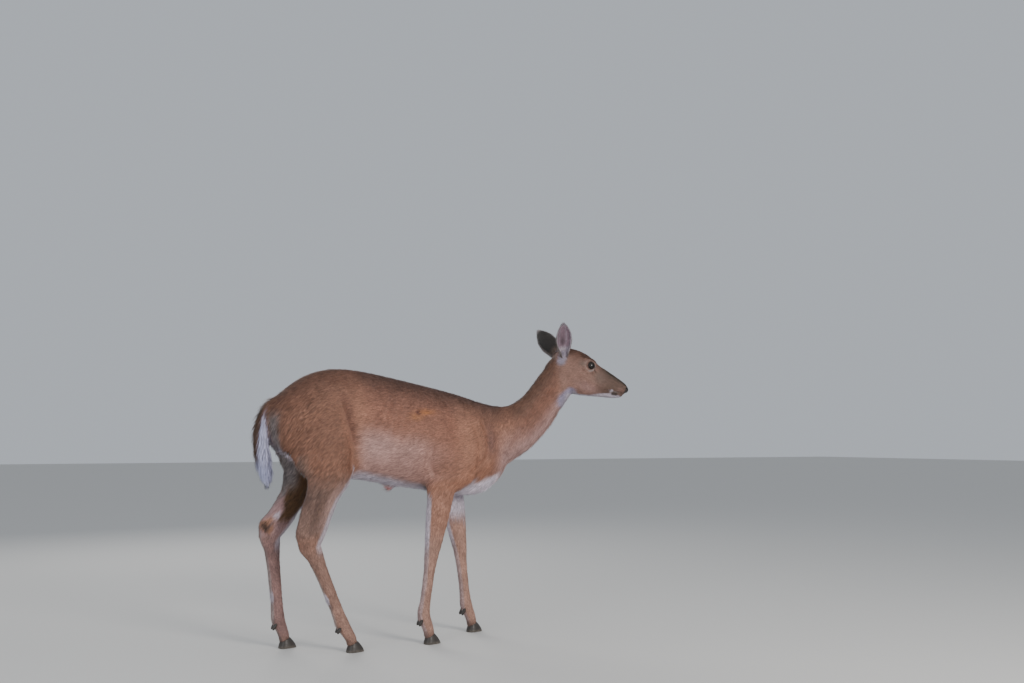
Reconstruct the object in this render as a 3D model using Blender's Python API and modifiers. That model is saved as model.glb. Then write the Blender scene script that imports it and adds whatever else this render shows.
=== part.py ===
"""A white-tailed deer standing side-on, life size: a museum model of the live animal in its short
summer coat. Metres, +Z up, nose towards +X, the animal's left towards +Y. The solids reach out to
the tips of the hair. The deer is shaped whole, from lofted body masses that a voxel remesh fuses,
and is then parted with thin cuts into head, neck, trunk, tail and legs."""

import math

import bmesh
import bpy
import numpy as np
from mathutils import Matrix, Vector

# ---- driving dimensions -------------------------------------------------------------------------
CUT = 0.0004  # width of the cuts that part one piece of the body from the next
BODY_VOXEL = 0.0035
BODY_TRIANGLES = 4250
DETAIL = 0.002  # how much more finely the head and the feet are faceted
RING_POINTS = 28
SIDES = {"left": 1, "right": -1}

HAIR_BROWN = (0.46, 0.22, 0.12)
HAIR_GREY = (0.30, 0.21, 0.16)
HORN_BLACK = (0.035, 0.030, 0.028)
EYE_BLACK = (0.020, 0.014, 0.010)

# The trunk from the pin bones to the base of the neck:
# forward, top, underside, half width, and how much narrower the back is than the belly.
TRUNK = (
    (-0.312, 0.842, 0.765, 0.030, 0.00),  # root of the tail
    (-0.290, 0.864, 0.715, 0.060, 0.05),  # pin bones
    (-0.250, 0.902, 0.688, 0.086, 0.10),
    (-0.200, 0.940, 0.655, 0.101, 0.14),
    (-0.130, 0.970, 0.622, 0.108, 0.16),  # hips
    (-0.050, 0.980, 0.590, 0.106, 0.16),  # highest point of the rump
    (0.030, 0.973, 0.582, 0.106, 0.14),  # flank
    (0.110, 0.958, 0.566, 0.118, 0.12),
    (0.200, 0.940, 0.552, 0.128, 0.10),  # widest ribs
    (0.290, 0.921, 0.539, 0.123, 0.10),
    (0.370, 0.904, 0.524, 0.106, 0.10),  # girth, behind the elbow
    (0.440, 0.886, 0.519, 0.093, 0.18),  # withers
    (0.500, 0.869, 0.526, 0.084, 0.18),
    (0.555, 0.858, 0.558, 0.072, 0.14),  # breast
    (0.600, 0.852, 0.608, 0.050, 0.08),
    (0.622, 0.835, 0.665, 0.030, 0.00),
)

# The neck: centre (forward, sideways, up), half width, half depth from nape to throat, taper.
NECK = (
    (0.500, 0.000, 0.722, 0.078, 0.128, 0.14),
    (0.585, 0.000, 0.742, 0.070, 0.112, 0.12),
    (0.655, 0.000, 0.770, 0.060, 0.098, 0.12),
    (0.724, -0.004, 0.823, 0.053, 0.0855, 0.12),
    (0.7815, -0.012, 0.896, 0.048, 0.0785, 0.12),
    (0.826, -0.020, 0.955, 0.046, 0.077, 0.10),
    (0.862, -0.028, 0.988, 0.044, 0.066, 0.05),
    (0.885, -0.034, 1.008, 0.030, 0.045, 0.00),
)

# The head has a frame of its own at the joint with the neck: along the muzzle, left, and up.
HEAD_AT = Vector((0.840, -0.025, 1.000))
HEAD_TURN = math.radians(-14)  # the head looks a little to the animal's right
HEAD_DIP = math.radians(20)
# Skull and upper jaw: along, top, underside, half width, taper.
SKULL = (
    (-0.066, 0.004, -0.036, 0.020, 0.00),
    (-0.046, 0.044, -0.050, 0.036, 0.00),
    (-0.015, 0.084, -0.062, 0.047, 0.00),  # poll, between the ears
    (0.020, 0.094, -0.066, 0.050, 0.02),
    (0.055, 0.0955, -0.064, 0.0515, 0.04),
    (0.085, 0.091, -0.058, 0.0515, 0.04),  # brow
    (0.112, 0.080, -0.052, 0.0475, 0.06),
    (0.138, 0.0705, -0.047, 0.0400, 0.10),  # bridge
    (0.170, 0.0645, -0.040, 0.0335, 0.14),
    (0.205, 0.0570, -0.028, 0.0295, 0.12),
    (0.235, 0.0490, -0.014, 0.0275, 0.06),
    (0.257, 0.0425, -0.006, 0.0270, 0.02),  # nostrils
    (0.274, 0.0350, -0.001, 0.0235, 0.00),
    (0.285, 0.0270, 0.006, 0.0150, 0.00),  # tip of the nose
)
# Lower jaw, the same way.
JAW = (
    (0.030, -0.010, -0.070, 0.030, -0.10),
    (0.060, -0.015, -0.0735, 0.034, -0.10),  # angle of the jaw
    (0.095, -0.018, -0.0715, 0.033, -0.12),
    (0.137, -0.014, -0.0610, 0.027, -0.15),
    (0.185, -0.008, -0.0475, 0.0205, -0.15),
    (0.222, -0.006, -0.0370, 0.0175, -0.10),
    (0.247, -0.004, -0.0290, 0.0165, 0.00),  # chin
    (0.264, -0.003, -0.0190, 0.0125, 0.00),
    (0.271, -0.004, -0.0120, 0.0060, 0.00),
)
EYE_AT = Vector((0.0955, 0.0425, 0.0485))
EYE_RADIUS = 0.0168
EAR_AT = Vector((-0.026, 0.0380, 0.060))
EAR_COLUMNS = 7
EAR_THICKNESS = 0.0040
EAR_BOW = 0.010  # how far the back of the ear bows out
# Share of the length, half width, half the angle that the cup is rolled through.
EAR_FORM = (
    (0.00, 0.0145, 140.0),
    (0.14, 0.0185, 120.0),
    (0.30, 0.0275, 88.0),
    (0.50, 0.0345, 72.0),
    (0.70, 0.0320, 62.0),
    (0.86, 0.0215, 52.0),
    (0.96, 0.0095, 45.0),
    (1.00, 0.0030, 40.0),
)
# Which ear, its length, its breadth as a share, the way it leans, the way its opening faces.
EARS = (
    ("right", 0.138, 0.95, (-0.036, -0.070, 0.136), (-0.12, -0.98, 0.0)),
    ("left", 0.162, 1.08, (-0.040, 0.100, 0.104), (0.40, 0.90, 0.0)),
)

# Joints of each leg, from the body down: forward, sideways from the middle, up.
LEG_JOINTS = {
    "foreleg_right": ((0.455, 0.074, 0.665), (0.318, 0.077, 0.572), (0.279, 0.072, 0.320),
                      (0.2505, 0.070, 0.104), (0.2730, 0.072, 0.036)),
    "foreleg_left": ((0.485, 0.074, 0.665), (0.405, 0.077, 0.572), (0.449, 0.072, 0.318),
                     (0.4745, 0.070, 0.106), (0.5010, 0.072, 0.036)),
    "hindleg_right": ((-0.143, 0.052, 0.865), (-0.106, 0.080, 0.602), (-0.168, 0.077, 0.374),
                      (-0.0500, 0.082, 0.094), (-0.0150, 0.085, 0.036)),
    "hindleg_left": ((-0.150, 0.052, 0.865), (-0.128, 0.080, 0.612), (-0.268, 0.077, 0.402),
                     (-0.2325, 0.082, 0.098), (-0.2080, 0.085, 0.036)),
}
# How thick a leg is between one joint and the next: share of the way down, half width across,
# half depth from front to back. A list covers one length of the leg.
FORELEG_FORM = (
    ((0.00, 0.036, 0.062), (0.50, 0.040, 0.072)),  # upper arm
    ((0.00, 0.037, 0.064), (0.22, 0.0315, 0.0505), (0.45, 0.0280, 0.0450), (0.66, 0.0255, 0.0395),
     (0.86, 0.0232, 0.0330)),  # forearm
    ((0.00, 0.0230, 0.0278), (0.15, 0.0194, 0.0240), (0.32, 0.0168, 0.0214), (0.60, 0.0160, 0.0206),
     (0.80, 0.0166, 0.0208)),  # cannon
    ((0.00, 0.0205, 0.0240), (0.40, 0.0198, 0.0220), (0.85, 0.0198, 0.0200)),  # pastern
)
HINDLEG_FORM = (
    ((0.00, 0.034, 0.075), (0.24, 0.048, 0.126), (0.50, 0.052, 0.134), (0.78, 0.050, 0.112)),  # thigh
    ((0.00, 0.044, 0.084), (0.24, 0.0375, 0.0620), (0.50, 0.0308, 0.0510), (0.80, 0.0262, 0.0465)),
    ((0.00, 0.0242, 0.0430), (0.17, 0.0200, 0.0300), (0.32, 0.0176, 0.0252), (0.55, 0.0166, 0.0230),
     (0.80, 0.0168, 0.0222)),  # cannon
    ((0.00, 0.0205, 0.0245), (0.40, 0.0198, 0.0222), (0.85, 0.0198, 0.0200)),  # pastern
)
# The tendon that runs down the back of a hind leg to the point of the hock: forward, up, half width
# across, half depth.
HOCK_TENDONS = {
    "hindleg_right": ((-0.193, 0.372, 0.0110, 0.0120), (-0.202, 0.396, 0.0135, 0.0155),
                      (-0.196, 0.442, 0.0120, 0.0150), (-0.1795, 0.506, 0.0140, 0.0150),
                      (-0.160, 0.556, 0.0180, 0.0160)),
    "hindleg_left": ((-0.284, 0.394, 0.0110, 0.0120), (-0.295, 0.421, 0.0135, 0.0150),
                     (-0.250, 0.478, 0.0120, 0.0150), (-0.206, 0.534, 0.0140, 0.0150),
                     (-0.180, 0.566, 0.0180, 0.0160)),
}
CORONET = 0.029  # height of the top of the hooves, in the middle
CORONET_SLOPE = math.radians(24)  # it is higher over the toe than over the heel
# Where a leg is parted from the trunk: rear limit, front limit at the flank, how far the front
# limit leans, height at the middle of the body, how steeply the cut rises outwards, in degrees.
FLANK_HEIGHT = 0.62
LEG_SPACE = {"hindleg": (-0.60, 0.002, 0.18, 0.530, 60), "foreleg": (0.16, 0.75, 0.0, 0.490, 42)}

HOOF_POINTS = 12
HOOF_SPLIT = 0.0006  # half the cleft between the two claws
# Claw of a foot: share of the height, reach of the heel, reach of the toe, width.
HOOF_FORM = (
    (0.00, 0.0215, 0.0425, 0.0205),
    (0.20, 0.0222, 0.0400, 0.0213),
    (0.60, 0.0202, 0.0290, 0.0200),
    (1.00, 0.0168, 0.0178, 0.0168),
)

# The tail hangs from the rump: forward, up, half width across, half thickness.
TAIL = (
    (-0.276, 0.868, 0.020, 0.014),
    (-0.302, 0.838, 0.028, 0.018),
    (-0.319, 0.795, 0.036, 0.022),
    (-0.323, 0.735, 0.042, 0.027),
    (-0.318, 0.680, 0.043, 0.027),
    (-0.309, 0.628, 0.037, 0.024),
    (-0.301, 0.588, 0.025, 0.016),
    (-0.298, 0.566, 0.007, 0.005),
)


# ---- making meshes ------------------------------------------------------------------------------
def collection(name):
    made = bpy.data.collections.new(name)
    bpy.context.scene.collection.children.link(made)
    return made


def add_object(name, mesh, group, colour=HAIR_BROWN, roughness=0.8):
    """An object of its own, with its own plain material."""
    finish = bpy.data.materials.new(name)
    finish.use_nodes = True
    shader = finish.node_tree.nodes["Principled BSDF"]
    shader.inputs["Base Color"].default_value = (*colour, 1.0)
    shader.inputs["Roughness"].default_value = roughness
    mesh.materials.clear()
    mesh.materials.append(finish)
    made = bpy.data.objects.new(name, mesh)
    group.objects.link(made)
    return made


def smooth_rows(rows, steps=5):
    """More rows between those given, on a cubic through every column."""
    rows = np.array(rows, float)
    places = rows[:, :3] if rows.shape[1] > 5 else rows[:, :1]
    run = np.r_[0.0, np.cumsum(np.linalg.norm(np.diff(places, axis=0), axis=1))]
    slope = np.gradient(rows, run, axis=0)
    made = []
    for i, span in enumerate(np.diff(run)):
        for t in np.arange(steps) / steps:
            made.append(
                (2 * t**3 - 3 * t**2 + 1) * rows[i]
                + (t**3 - 2 * t**2 + t) * span * slope[i]
                + (3 * t**2 - 2 * t**3) * rows[i + 1]
                + (t**3 - t**2) * span * slope[i + 1]
            )
    return [*made, rows[-1]]


def ring(centre, across, up, half_width, half_depth, taper=0.0, count=RING_POINTS):
    """An egg-shaped section: taper above 0 makes it narrower towards up."""
    points = []
    for k in range(count):
        a = 2 * math.pi * k / count
        wide = half_width * math.cos(a) * (1 - taper * math.sin(a))
        points.append(centre + across * wide + up * (half_depth * math.sin(a)))
    return points


def loft(bm, rings):
    """Closes a tube through the rings, with both ends filled."""
    loops = [[bm.verts.new(p) for p in points] for points in rings]
    for low, high in zip(loops, loops[1:]):
        for k in range(len(low)):
            n = (k + 1) % len(low)
            bm.faces.new((low[k], low[n], high[n], high[k]))
    bm.faces.new(loops[0][::-1])
    bm.faces.new(loops[-1])


def upright_loft(bm, rows, frame=Matrix.Identity(4)):
    """A loft whose sections stay square to its own frame's X: along, top, underside, width, taper."""
    rings = []
    for x, top, bottom, half_width, taper in smooth_rows(rows):
        points = ring(Vector((x, 0, (top + bottom) / 2)), Vector((0, 1, 0)), Vector((0, 0, 1)),
                      half_width, (top - bottom) / 2, taper)
        rings.append([frame @ p for p in points])
    loft(bm, rings)


def path_loft(bm, rows, frame=Matrix.Identity(4), points=RING_POINTS, steps=5):
    """A loft whose sections stand square to its path: centre, half width, half depth, taper."""
    rows = smooth_rows(rows, steps)
    centres = [Vector(row[:3]) for row in rows]
    rings = []
    for i, (centre, row) in enumerate(zip(centres, rows)):
        along = (centres[min(i + 1, len(rows) - 1)] - centres[max(i - 1, 0)]).normalized()
        across = (Vector((0, 1, 0)) - along * along.y).normalized()
        section = ring(centre, across, along.cross(across), row[3], row[4], row[5], points)
        rings.append([frame @ p for p in section])
    loft(bm, rings)


def ball(bm, centre, radii, frame=Matrix.Identity(4), lean=0.0):
    """An ellipsoid, leaning from +Z towards +X by an angle in degrees."""
    shape = Matrix.Translation(centre) @ Matrix.Rotation(math.radians(lean), 4, "Y")
    bmesh.ops.create_icosphere(
        bm, subdivisions=4, radius=1.0, matrix=frame @ shape @ Matrix.Diagonal((*radii, 1.0))
    )


def mesh_of(bm, name):
    bmesh.ops.recalc_face_normals(bm, faces=bm.faces)
    mesh = bpy.data.meshes.new(name)
    bm.to_mesh(mesh)
    bm.free()
    return mesh


def evaluated_mesh(obj):
    graph = bpy.context.evaluated_depsgraph_get()
    return bpy.data.meshes.new_from_object(obj.evaluated_get(graph))


def grouped(obj, name, weights):
    """A vertex group holding a weight for every vertex, given as an array."""
    group = obj.vertex_groups.new(name=name)
    for weight in np.unique(weights):
        group.add(np.flatnonzero(weights == weight).tolist(), float(weight), "REPLACE")
    return name


def smoothing(obj, iterations, group=""):
    rounding = obj.modifiers.new("round", "SMOOTH")
    rounding.factor = 0.5
    rounding.iterations = iterations
    rounding.vertex_group = group


def fused(name, build, voxel, triangles):
    """The masses that build() adds, fused by a voxel remesh, rounded, and thinned to triangles."""
    bm = bmesh.new()
    build(bm)
    rough = add_object(name, mesh_of(bm, name), helpers)
    remesh = rough.modifiers.new("fuse", "REMESH")
    remesh.mode = "VOXEL"
    remesh.voxel_size = voxel
    mesh = evaluated_mesh(rough)
    bpy.data.objects.remove(rough)
    places = np.empty(len(mesh.vertices) * 3, np.float32)
    mesh.vertices.foreach_get("co", places)
    x, y, z = places.reshape(-1, 3).T
    whole = add_object(name, mesh, helpers)
    broad = (z > 0.54) & (x < 0.80) & ((z > 0.60) | (x > 0.02))
    smoothing(whole, 6)
    smoothing(whole, 45, grouped(whole, "broad", broad.astype(float)))
    thin = whole.modifiers.new("thin", "DECIMATE")
    thin.ratio = triangles / (2 * len(mesh.polygons))
    fine = np.where((x > 0.82) | (z < 0.12), 0.5, 1.0)
    thin.vertex_group = grouped(whole, "plain", fine)
    thin.vertex_group_factor = DETAIL
    mesh = evaluated_mesh(whole)
    bpy.data.objects.remove(whole)
    return mesh


def helper(name, mesh):
    made = add_object(name, mesh, helpers)
    made.hide_render = True
    made.display_type = "WIRE"
    return made


def slab(name, low, high, frame=Matrix.Identity(4)):
    """A box cutter between two corners of a frame."""
    bm = bmesh.new()
    low, high = Vector(low), Vector(high)
    size = Matrix.Diagonal((*(high - low), 1.0))
    bmesh.ops.create_cube(bm, size=1.0, matrix=frame @ Matrix.Translation((low + high) / 2) @ size)
    return helper(name, mesh_of(bm, name))


def boolean(obj, operation, cutter):
    cut = obj.modifiers.new(operation.lower(), "BOOLEAN")
    cut.operation = operation
    cut.object = cutter
    return cut


def grown(obj, by):
    """A copy of the finished object, swollen by a distance, to cut its neighbours with."""
    mesh = evaluated_mesh(obj)
    bm = bmesh.new()
    bm.from_mesh(mesh)
    bmesh.ops.remove_doubles(bm, verts=bm.verts, dist=1e-6)
    bm.to_mesh(mesh)
    bm.free()
    made = helper(obj.name + "_grown", mesh)
    swell = made.modifiers.new("swell", "DISPLACE")
    swell.strength = by
    swell.mid_level = 0.0
    return made


# ---- body masses --------------------------------------------------------------------------------
def head_frame():
    turn = Matrix.Rotation(HEAD_TURN, 4, "Z") @ Matrix.Rotation(HEAD_DIP, 4, "Y")
    return Matrix.Translation(HEAD_AT) @ turn


def leg_rows(name):
    """Rows of a leg's loft: the form of each length, set on the line between its two joints."""
    side = SIDES[name.split("_")[1]]
    joints = [Vector((x, side * y, z)) for x, y, z in LEG_JOINTS[name]]
    forms = FORELEG_FORM if name.startswith("fore") else HINDLEG_FORM
    rows = []
    for start, end, form in zip(joints, joints[1:], forms):
        for share, half_width, half_depth in form:
            rows.append((*start.lerp(end, share), half_width, half_depth, 0.0))
    foot = joints[-1].copy()
    foot.z = 0.010
    return [*rows, (*foot, 0.0190, 0.0180, 0.0)]


def add_shoulder(bm, side, forward):
    """Shoulder blade, leaning forward from the withers to the point of the shoulder."""
    path_loft(bm, (
        (0.420, side * 0.036, 0.845, 0.018, 0.052, 0.0),
        (0.430, side * 0.052, 0.785, 0.025, 0.072, 0.0),
        (0.448 + forward / 2, side * 0.062, 0.715, 0.030, 0.082, 0.0),
        (0.465 + forward, side * 0.064, 0.650, 0.032, 0.076, 0.0),
        (0.465 + forward, side * 0.058, 0.600, 0.027, 0.052, 0.0),
    ))
    ball(bm, (0.380 + forward, side * 0.066, 0.650), (0.085, 0.037, 0.105), lean=25)  # triceps


def add_head(bm):
    frame = head_frame()
    upright_loft(bm, SKULL, frame)
    upright_loft(bm, JAW, frame)
    for side in SIDES.values():
        ball(bm, (0.068, side * 0.021, -0.020), (0.060, 0.0245, 0.047), frame, lean=-12)  # cheek
        ball(bm, (0.091, side * 0.034, 0.049), (0.034, 0.0195, 0.0265), frame)  # orbit
        ball(bm, (0.084, side * 0.028, 0.0650), (0.038, 0.0180, 0.0165), frame)  # brow
        ball(bm, (0.258, side * 0.0170, 0.023), (0.0165, 0.0110, 0.0130), frame)  # nostril wing
        ball(bm, (0.225, side * 0.0165, -0.002), (0.040, 0.0115, 0.0125), frame, lean=-12)  # lip
        ball(bm, (-0.018, side * 0.0330, 0.047), (0.028, 0.0145, 0.0280), frame)  # ear root


def add_neck(bm):
    path_loft(bm, NECK)


def add_body(bm):
    upright_loft(bm, TRUNK)
    add_neck(bm)
    add_head(bm)
    for side in SIDES.values():
        add_shoulder(bm, side, 0.02 if side > 0 else 0.0)
        ball(bm, (-0.050, side * 0.052, 0.885), (0.080, 0.034, 0.052), lean=20)  # hip bone
        ball(bm, (-0.210, side * 0.056, 0.775), (0.078, 0.048, 0.105), lean=15)  # pin bone muscle
    for name, joints in LEG_JOINTS.items():
        path_loft(bm, leg_rows(name))
        if name in HOCK_TENDONS:
            y = SIDES[name.split("_")[1]] * joints[2][1]
            path_loft(bm, [(x, y, z, wide, deep, 0.0) for x, z, wide, deep in HOCK_TENDONS[name]])
    ball(bm, (-0.186, 0.060, 0.592), (0.046, 0.032, 0.085))  # hamstring of the leg that stretches back
    ball(bm, (0.146, 0.0, 0.553), (0.020, 0.013, 0.019))  # navel


# ---- parting the body ---------------------------------------------------------------------------
def leaning(point, about_y):
    """A frame at a point, leaning about Y by an angle in degrees."""
    return Matrix.Translation(point) @ Matrix.Rotation(math.radians(about_y), 4, "Y")


def leg_space(name, gap):
    """The space of one leg: beside the middle of the body, below a slope that rises outwards."""
    kind, where = name.split("_")
    side = SIDES[where]
    rear, front, lean, height, rise = LEG_SPACE[kind]
    slope = math.tan(math.radians(rise))
    across = 0.30
    outline = ((gap, -0.10), (across, -0.10), (across, height + across * slope - gap * 2),
               (gap, height + gap * slope - gap * 2))
    bm = bmesh.new()
    caps = [[bm.verts.new((x, side * y, z)) for x, y, z in cap] for cap in (
        [(rear + gap, y, z) for y, z in outline],
        [(front - gap + lean * (FLANK_HEIGHT - z), y, z) for y, z in outline],
    )]
    bm.faces.new(caps[0])
    bm.faces.new(caps[1][::-1])
    for k in range(4):
        n = (k + 1) % 4
        bm.faces.new((caps[0][n], caps[0][k], caps[1][k], caps[1][n]))
    return helper(name + "_space", mesh_of(bm, name))


def cut_from(body, name, *spaces):
    """One piece of the body: what lies inside all of the spaces."""
    piece = add_object(name, body.copy(), deer)
    for space in spaces:
        boolean(piece, "INTERSECT", space)
    return piece


def part_body(body):
    """Head, neck, trunk and the lengths of the legs, with thin cuts between them."""
    half = CUT / 2
    nape = head_frame() @ leaning((-0.022, 0, -0.005), -28)
    withers = leaning((0.636, 0, 0.735), -15)
    in_front = slab("in_front_of_nape", (half, -0.4, -0.4), (0.6, 0.4, 0.4), nape)
    behind = slab("behind_nape", (-0.6, -0.6, -0.6), (-half, 0.6, 0.6), nape)
    before = slab("before_withers", (half, -0.6, -0.6), (0.8, 0.6, 0.6), withers)
    head = cut_from(body, "head", in_front)
    neck = cut_from(body, "neck", behind, before)
    trunk = cut_from(body, "trunk", slab("barrel", (-1.0, -0.6, -0.9), (-half, 0.6, 0.9), withers))
    for name, joints in LEG_JOINTS.items():
        boolean(trunk, "DIFFERENCE", leg_space(name, -half))
        coronet = Matrix.Translation((joints[-1][0], 0, CORONET)) @ Matrix.Rotation(-CORONET_SLOPE, 4, "Y")
        above_hooves = slab("above_hooves", (-1, -1, half), (1, 1, 2), coronet)
        cut_from(body, name, leg_space(name, half), above_hooves)
    return head, neck, trunk


# ---- eyes, ears, tail and feet ------------------------------------------------------------------
def make_eyes(head):
    for where, side in SIDES.items():
        centre = head_frame() @ Vector((EYE_AT.x, side * EYE_AT.y, EYE_AT.z))
        bm = bmesh.new()
        bmesh.ops.create_icosphere(bm, subdivisions=3, radius=EYE_RADIUS,
                                   matrix=Matrix.Translation(centre))
        eye = add_object("eye_" + where, mesh_of(bm, "eye"), deer, EYE_BLACK, 0.1)
        boolean(head, "DIFFERENCE", grown(eye, CUT))


def make_ear(where, length, breadth, lean, opening):
    """A leaf-shaped cup standing on the head, as a sheet that Solidify thickens."""
    side = SIDES[where]
    root = head_frame() @ Vector((EAR_AT.x, side * EAR_AT.y, EAR_AT.z))
    along = Vector(lean).normalized()
    facing = Vector(opening)
    facing = (facing - along * facing.dot(along)).normalized()
    across = along.cross(facing)
    rows = smooth_rows(EAR_FORM, 2)
    bm = bmesh.new()
    grid = []
    for share, half_width, spread in rows:
        radius = breadth * half_width / math.sin(math.radians(min(spread, 90)))
        line = []
        for k in range(EAR_COLUMNS):
            a = math.radians(spread) * (2 * k / (EAR_COLUMNS - 1) - 1)
            bow = EAR_BOW * math.sin(math.pi * share)
            offset = across * (radius * math.sin(a)) - facing * (radius * math.cos(a) - radius + bow)
            line.append(bm.verts.new(root + along * (length * (share - 0.12)) + offset))
        grid.append(line)
    for low, high in zip(grid, grid[1:]):
        for k in range(EAR_COLUMNS - 1):
            bm.faces.new((low[k], low[k + 1], high[k + 1], high[k]))
    ear = add_object("ear_" + where, mesh_of(bm, "ear"), deer, HAIR_GREY)
    solid = ear.modifiers.new("thickness", "SOLIDIFY")
    solid.thickness = EAR_THICKNESS
    solid.offset = 0.0
    return ear


def make_tail():
    bm = bmesh.new()
    path_loft(bm, [(x, 0.0, z, wide, deep, 0.0) for x, z, wide, deep in TAIL], points=12, steps=2)
    return add_object("tail", mesh_of(bm, "tail"), deer)


def make_hoof(name, ankle, inward):
    """One claw of a foot: flat below, straight along its inner side, drawn out to a toe."""
    bm = bmesh.new()
    rings = []
    for share, heel, toe, wide in HOOF_FORM:
        points = []
        for k in range(HOOF_POINTS):
            a = 2 * math.pi * k / HOOF_POINTS
            forward = math.cos(a)
            reach = toe if forward > 0 else heel
            bulge = wide * abs(math.sin(a)) ** 0.8
            outer = bulge * (1 - 0.25 * max(forward, 0)) if math.sin(a) > 0 else -0.02 * bulge
            along = reach * forward
            height = share * (CORONET - CUT + along * math.tan(CORONET_SLOPE))
            points.append(Vector((ankle.x + along, ankle.y - inward * (HOOF_SPLIT + outer), height)))
        rings.append(points)
    loft(bm, rings)
    return add_object(name, mesh_of(bm, name), deer, HORN_BLACK, 0.4)


def make_dewclaw(name, ankle, inward):
    """A short blunt cone behind the fetlock, pointing back and down."""
    tip = Vector((ankle.x - 0.0205, ankle.y - inward * 0.0120, 0.066))
    start = Vector((ankle.x - 0.0060, ankle.y - inward * 0.0095, 0.093))
    rows = [(*start.lerp(tip, share), wide, wide * 0.8, 0.0) for share, wide in
            ((0.0, 0.0070), (0.45, 0.0082), (0.75, 0.0074), (0.93, 0.0050), (1.0, 0.0022))]
    bm = bmesh.new()
    path_loft(bm, rows, points=8, steps=1)
    return add_object(name, mesh_of(bm, name), deer, HORN_BLACK, 0.5)


def make_feet():
    """Two hooves and two dewclaws on every leg."""
    for leg, joints in LEG_JOINTS.items():
        kind, where = leg.split("_")
        side = SIDES[where]
        ankle = Vector((joints[-1][0], side * joints[-1][1], 0.0))
        fetlock = Vector((joints[-2][0], side * joints[-2][1], 0.0))
        for claw, inward in (("inner", side), ("outer", -side)):
            make_hoof(f"hoof_{kind[:4]}_{where}_{claw}", ankle, inward)
            dew = make_dewclaw(f"dewclaw_{kind[:4]}_{where}_{claw}", fetlock, inward)
            boolean(dew, "DIFFERENCE", grown(bpy.data.objects[leg], CUT))


def finish_pieces():
    """Applies the cuts, then sets the origin in the middle of the bounding box's floor."""
    finished = {obj: evaluated_mesh(obj) for obj in deer.objects}
    corners = np.array([v.co for mesh in finished.values() for v in mesh.vertices])
    middle = (corners.min(axis=0) + corners.max(axis=0)) / 2
    for obj, mesh in finished.items():
        obj.modifiers.clear()
        mesh.transform(Matrix.Translation((-middle[0], -middle[1], 0.0)))
        obj.data = mesh


for old in list(bpy.data.objects):
    bpy.data.objects.remove(old)
helpers = collection("cutters")
deer = collection("white_tailed_deer")
body_mesh = fused("body", add_body, BODY_VOXEL, BODY_TRIANGLES)
head, neck, trunk = part_body(body_mesh)
make_eyes(head)
for ear_row in EARS:
    boolean(make_ear(*ear_row), "DIFFERENCE", grown(head, CUT))
tail = make_tail()
boolean(tail, "DIFFERENCE", grown(trunk, CUT))
for place in SIDES:
    boolean(tail, "DIFFERENCE", grown(bpy.data.objects[f"hindleg_{place}"], CUT))
make_feet()
finish_pieces()
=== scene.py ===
import math
import bmesh
import bpy
import numpy as np
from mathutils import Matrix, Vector
from mathutils.bvhtree import BVHTree


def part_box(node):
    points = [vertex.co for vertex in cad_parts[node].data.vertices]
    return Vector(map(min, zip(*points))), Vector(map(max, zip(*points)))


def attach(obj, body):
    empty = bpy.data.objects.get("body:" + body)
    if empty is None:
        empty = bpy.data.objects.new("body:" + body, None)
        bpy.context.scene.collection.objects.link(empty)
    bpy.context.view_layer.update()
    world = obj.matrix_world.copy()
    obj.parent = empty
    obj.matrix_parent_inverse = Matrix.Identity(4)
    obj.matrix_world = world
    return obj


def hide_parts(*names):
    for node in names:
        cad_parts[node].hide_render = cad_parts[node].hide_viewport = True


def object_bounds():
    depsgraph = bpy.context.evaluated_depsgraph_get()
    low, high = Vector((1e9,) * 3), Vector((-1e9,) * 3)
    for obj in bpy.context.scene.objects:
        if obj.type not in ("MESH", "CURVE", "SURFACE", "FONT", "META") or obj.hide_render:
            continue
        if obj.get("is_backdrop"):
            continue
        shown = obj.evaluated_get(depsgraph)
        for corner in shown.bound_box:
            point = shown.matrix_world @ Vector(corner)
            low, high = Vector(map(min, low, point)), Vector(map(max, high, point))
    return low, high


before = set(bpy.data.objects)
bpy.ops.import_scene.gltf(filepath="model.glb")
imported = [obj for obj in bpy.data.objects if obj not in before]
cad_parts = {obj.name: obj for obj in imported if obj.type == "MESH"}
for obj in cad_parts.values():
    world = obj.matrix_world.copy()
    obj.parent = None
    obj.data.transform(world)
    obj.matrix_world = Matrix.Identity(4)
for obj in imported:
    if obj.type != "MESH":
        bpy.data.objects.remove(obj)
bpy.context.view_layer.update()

# ---------------------------------------------------------------------------------------------
# The skin: one tanned summer hide that covers the whole deer, from the nose to the hooves.
# It is drawn over the forms of head, neck, trunk, tail and legs, and lies under the coat
# by the depth of the hair. Folds, lids, nostrils and mouth are worked into it.
FLESH = ("head", "neck", "trunk", "tail", "foreleg_left", "foreleg_right", "hindleg_left", "hindleg_right")
LEGS = FLESH[4:]
EAR_NODES = ("ear_left", "ear_right")
SKIN_GRAIN = 0.0028  # edge of a face on the body
JOIN_GROWTH = 0.0006  # closes the thin cuts between the parts
EYE_GROWTH = 0.0016  # swells the eyes, so that the skin closes over them
# How many rounds of smoothing a part gets, out of SMOOTHING_ROUNDS, and how deep its coat is.
SMOOTHING_ROUNDS = 90
SMOOTHING_SHARE = {"head": 0.13, "neck": 0.75, "trunk": 1.0, "tail": 0.10,
                   "foreleg_left": 0.16, "foreleg_right": 0.16, "hindleg_left": 0.16, "hindleg_right": 0.16}
COAT_DEPTH = {"head": 0.0012, "neck": 0.0034, "trunk": 0.0034, "tail": 0.0060, "foreleg_left": 0.0014,
              "foreleg_right": 0.0014, "hindleg_left": 0.0018, "hindleg_right": 0.0018}


def welded(node, growth):
    """A bmesh of a solid's surface, its corners joined, grown outwards by growth."""
    shape = bmesh.new()
    shape.from_mesh(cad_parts[node].data)
    bmesh.ops.remove_doubles(shape, verts=shape.verts, dist=0.00001)
    shape.normal_update()
    for corner in shape.verts:
        corner.co += corner.normal * growth
    return shape


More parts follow.
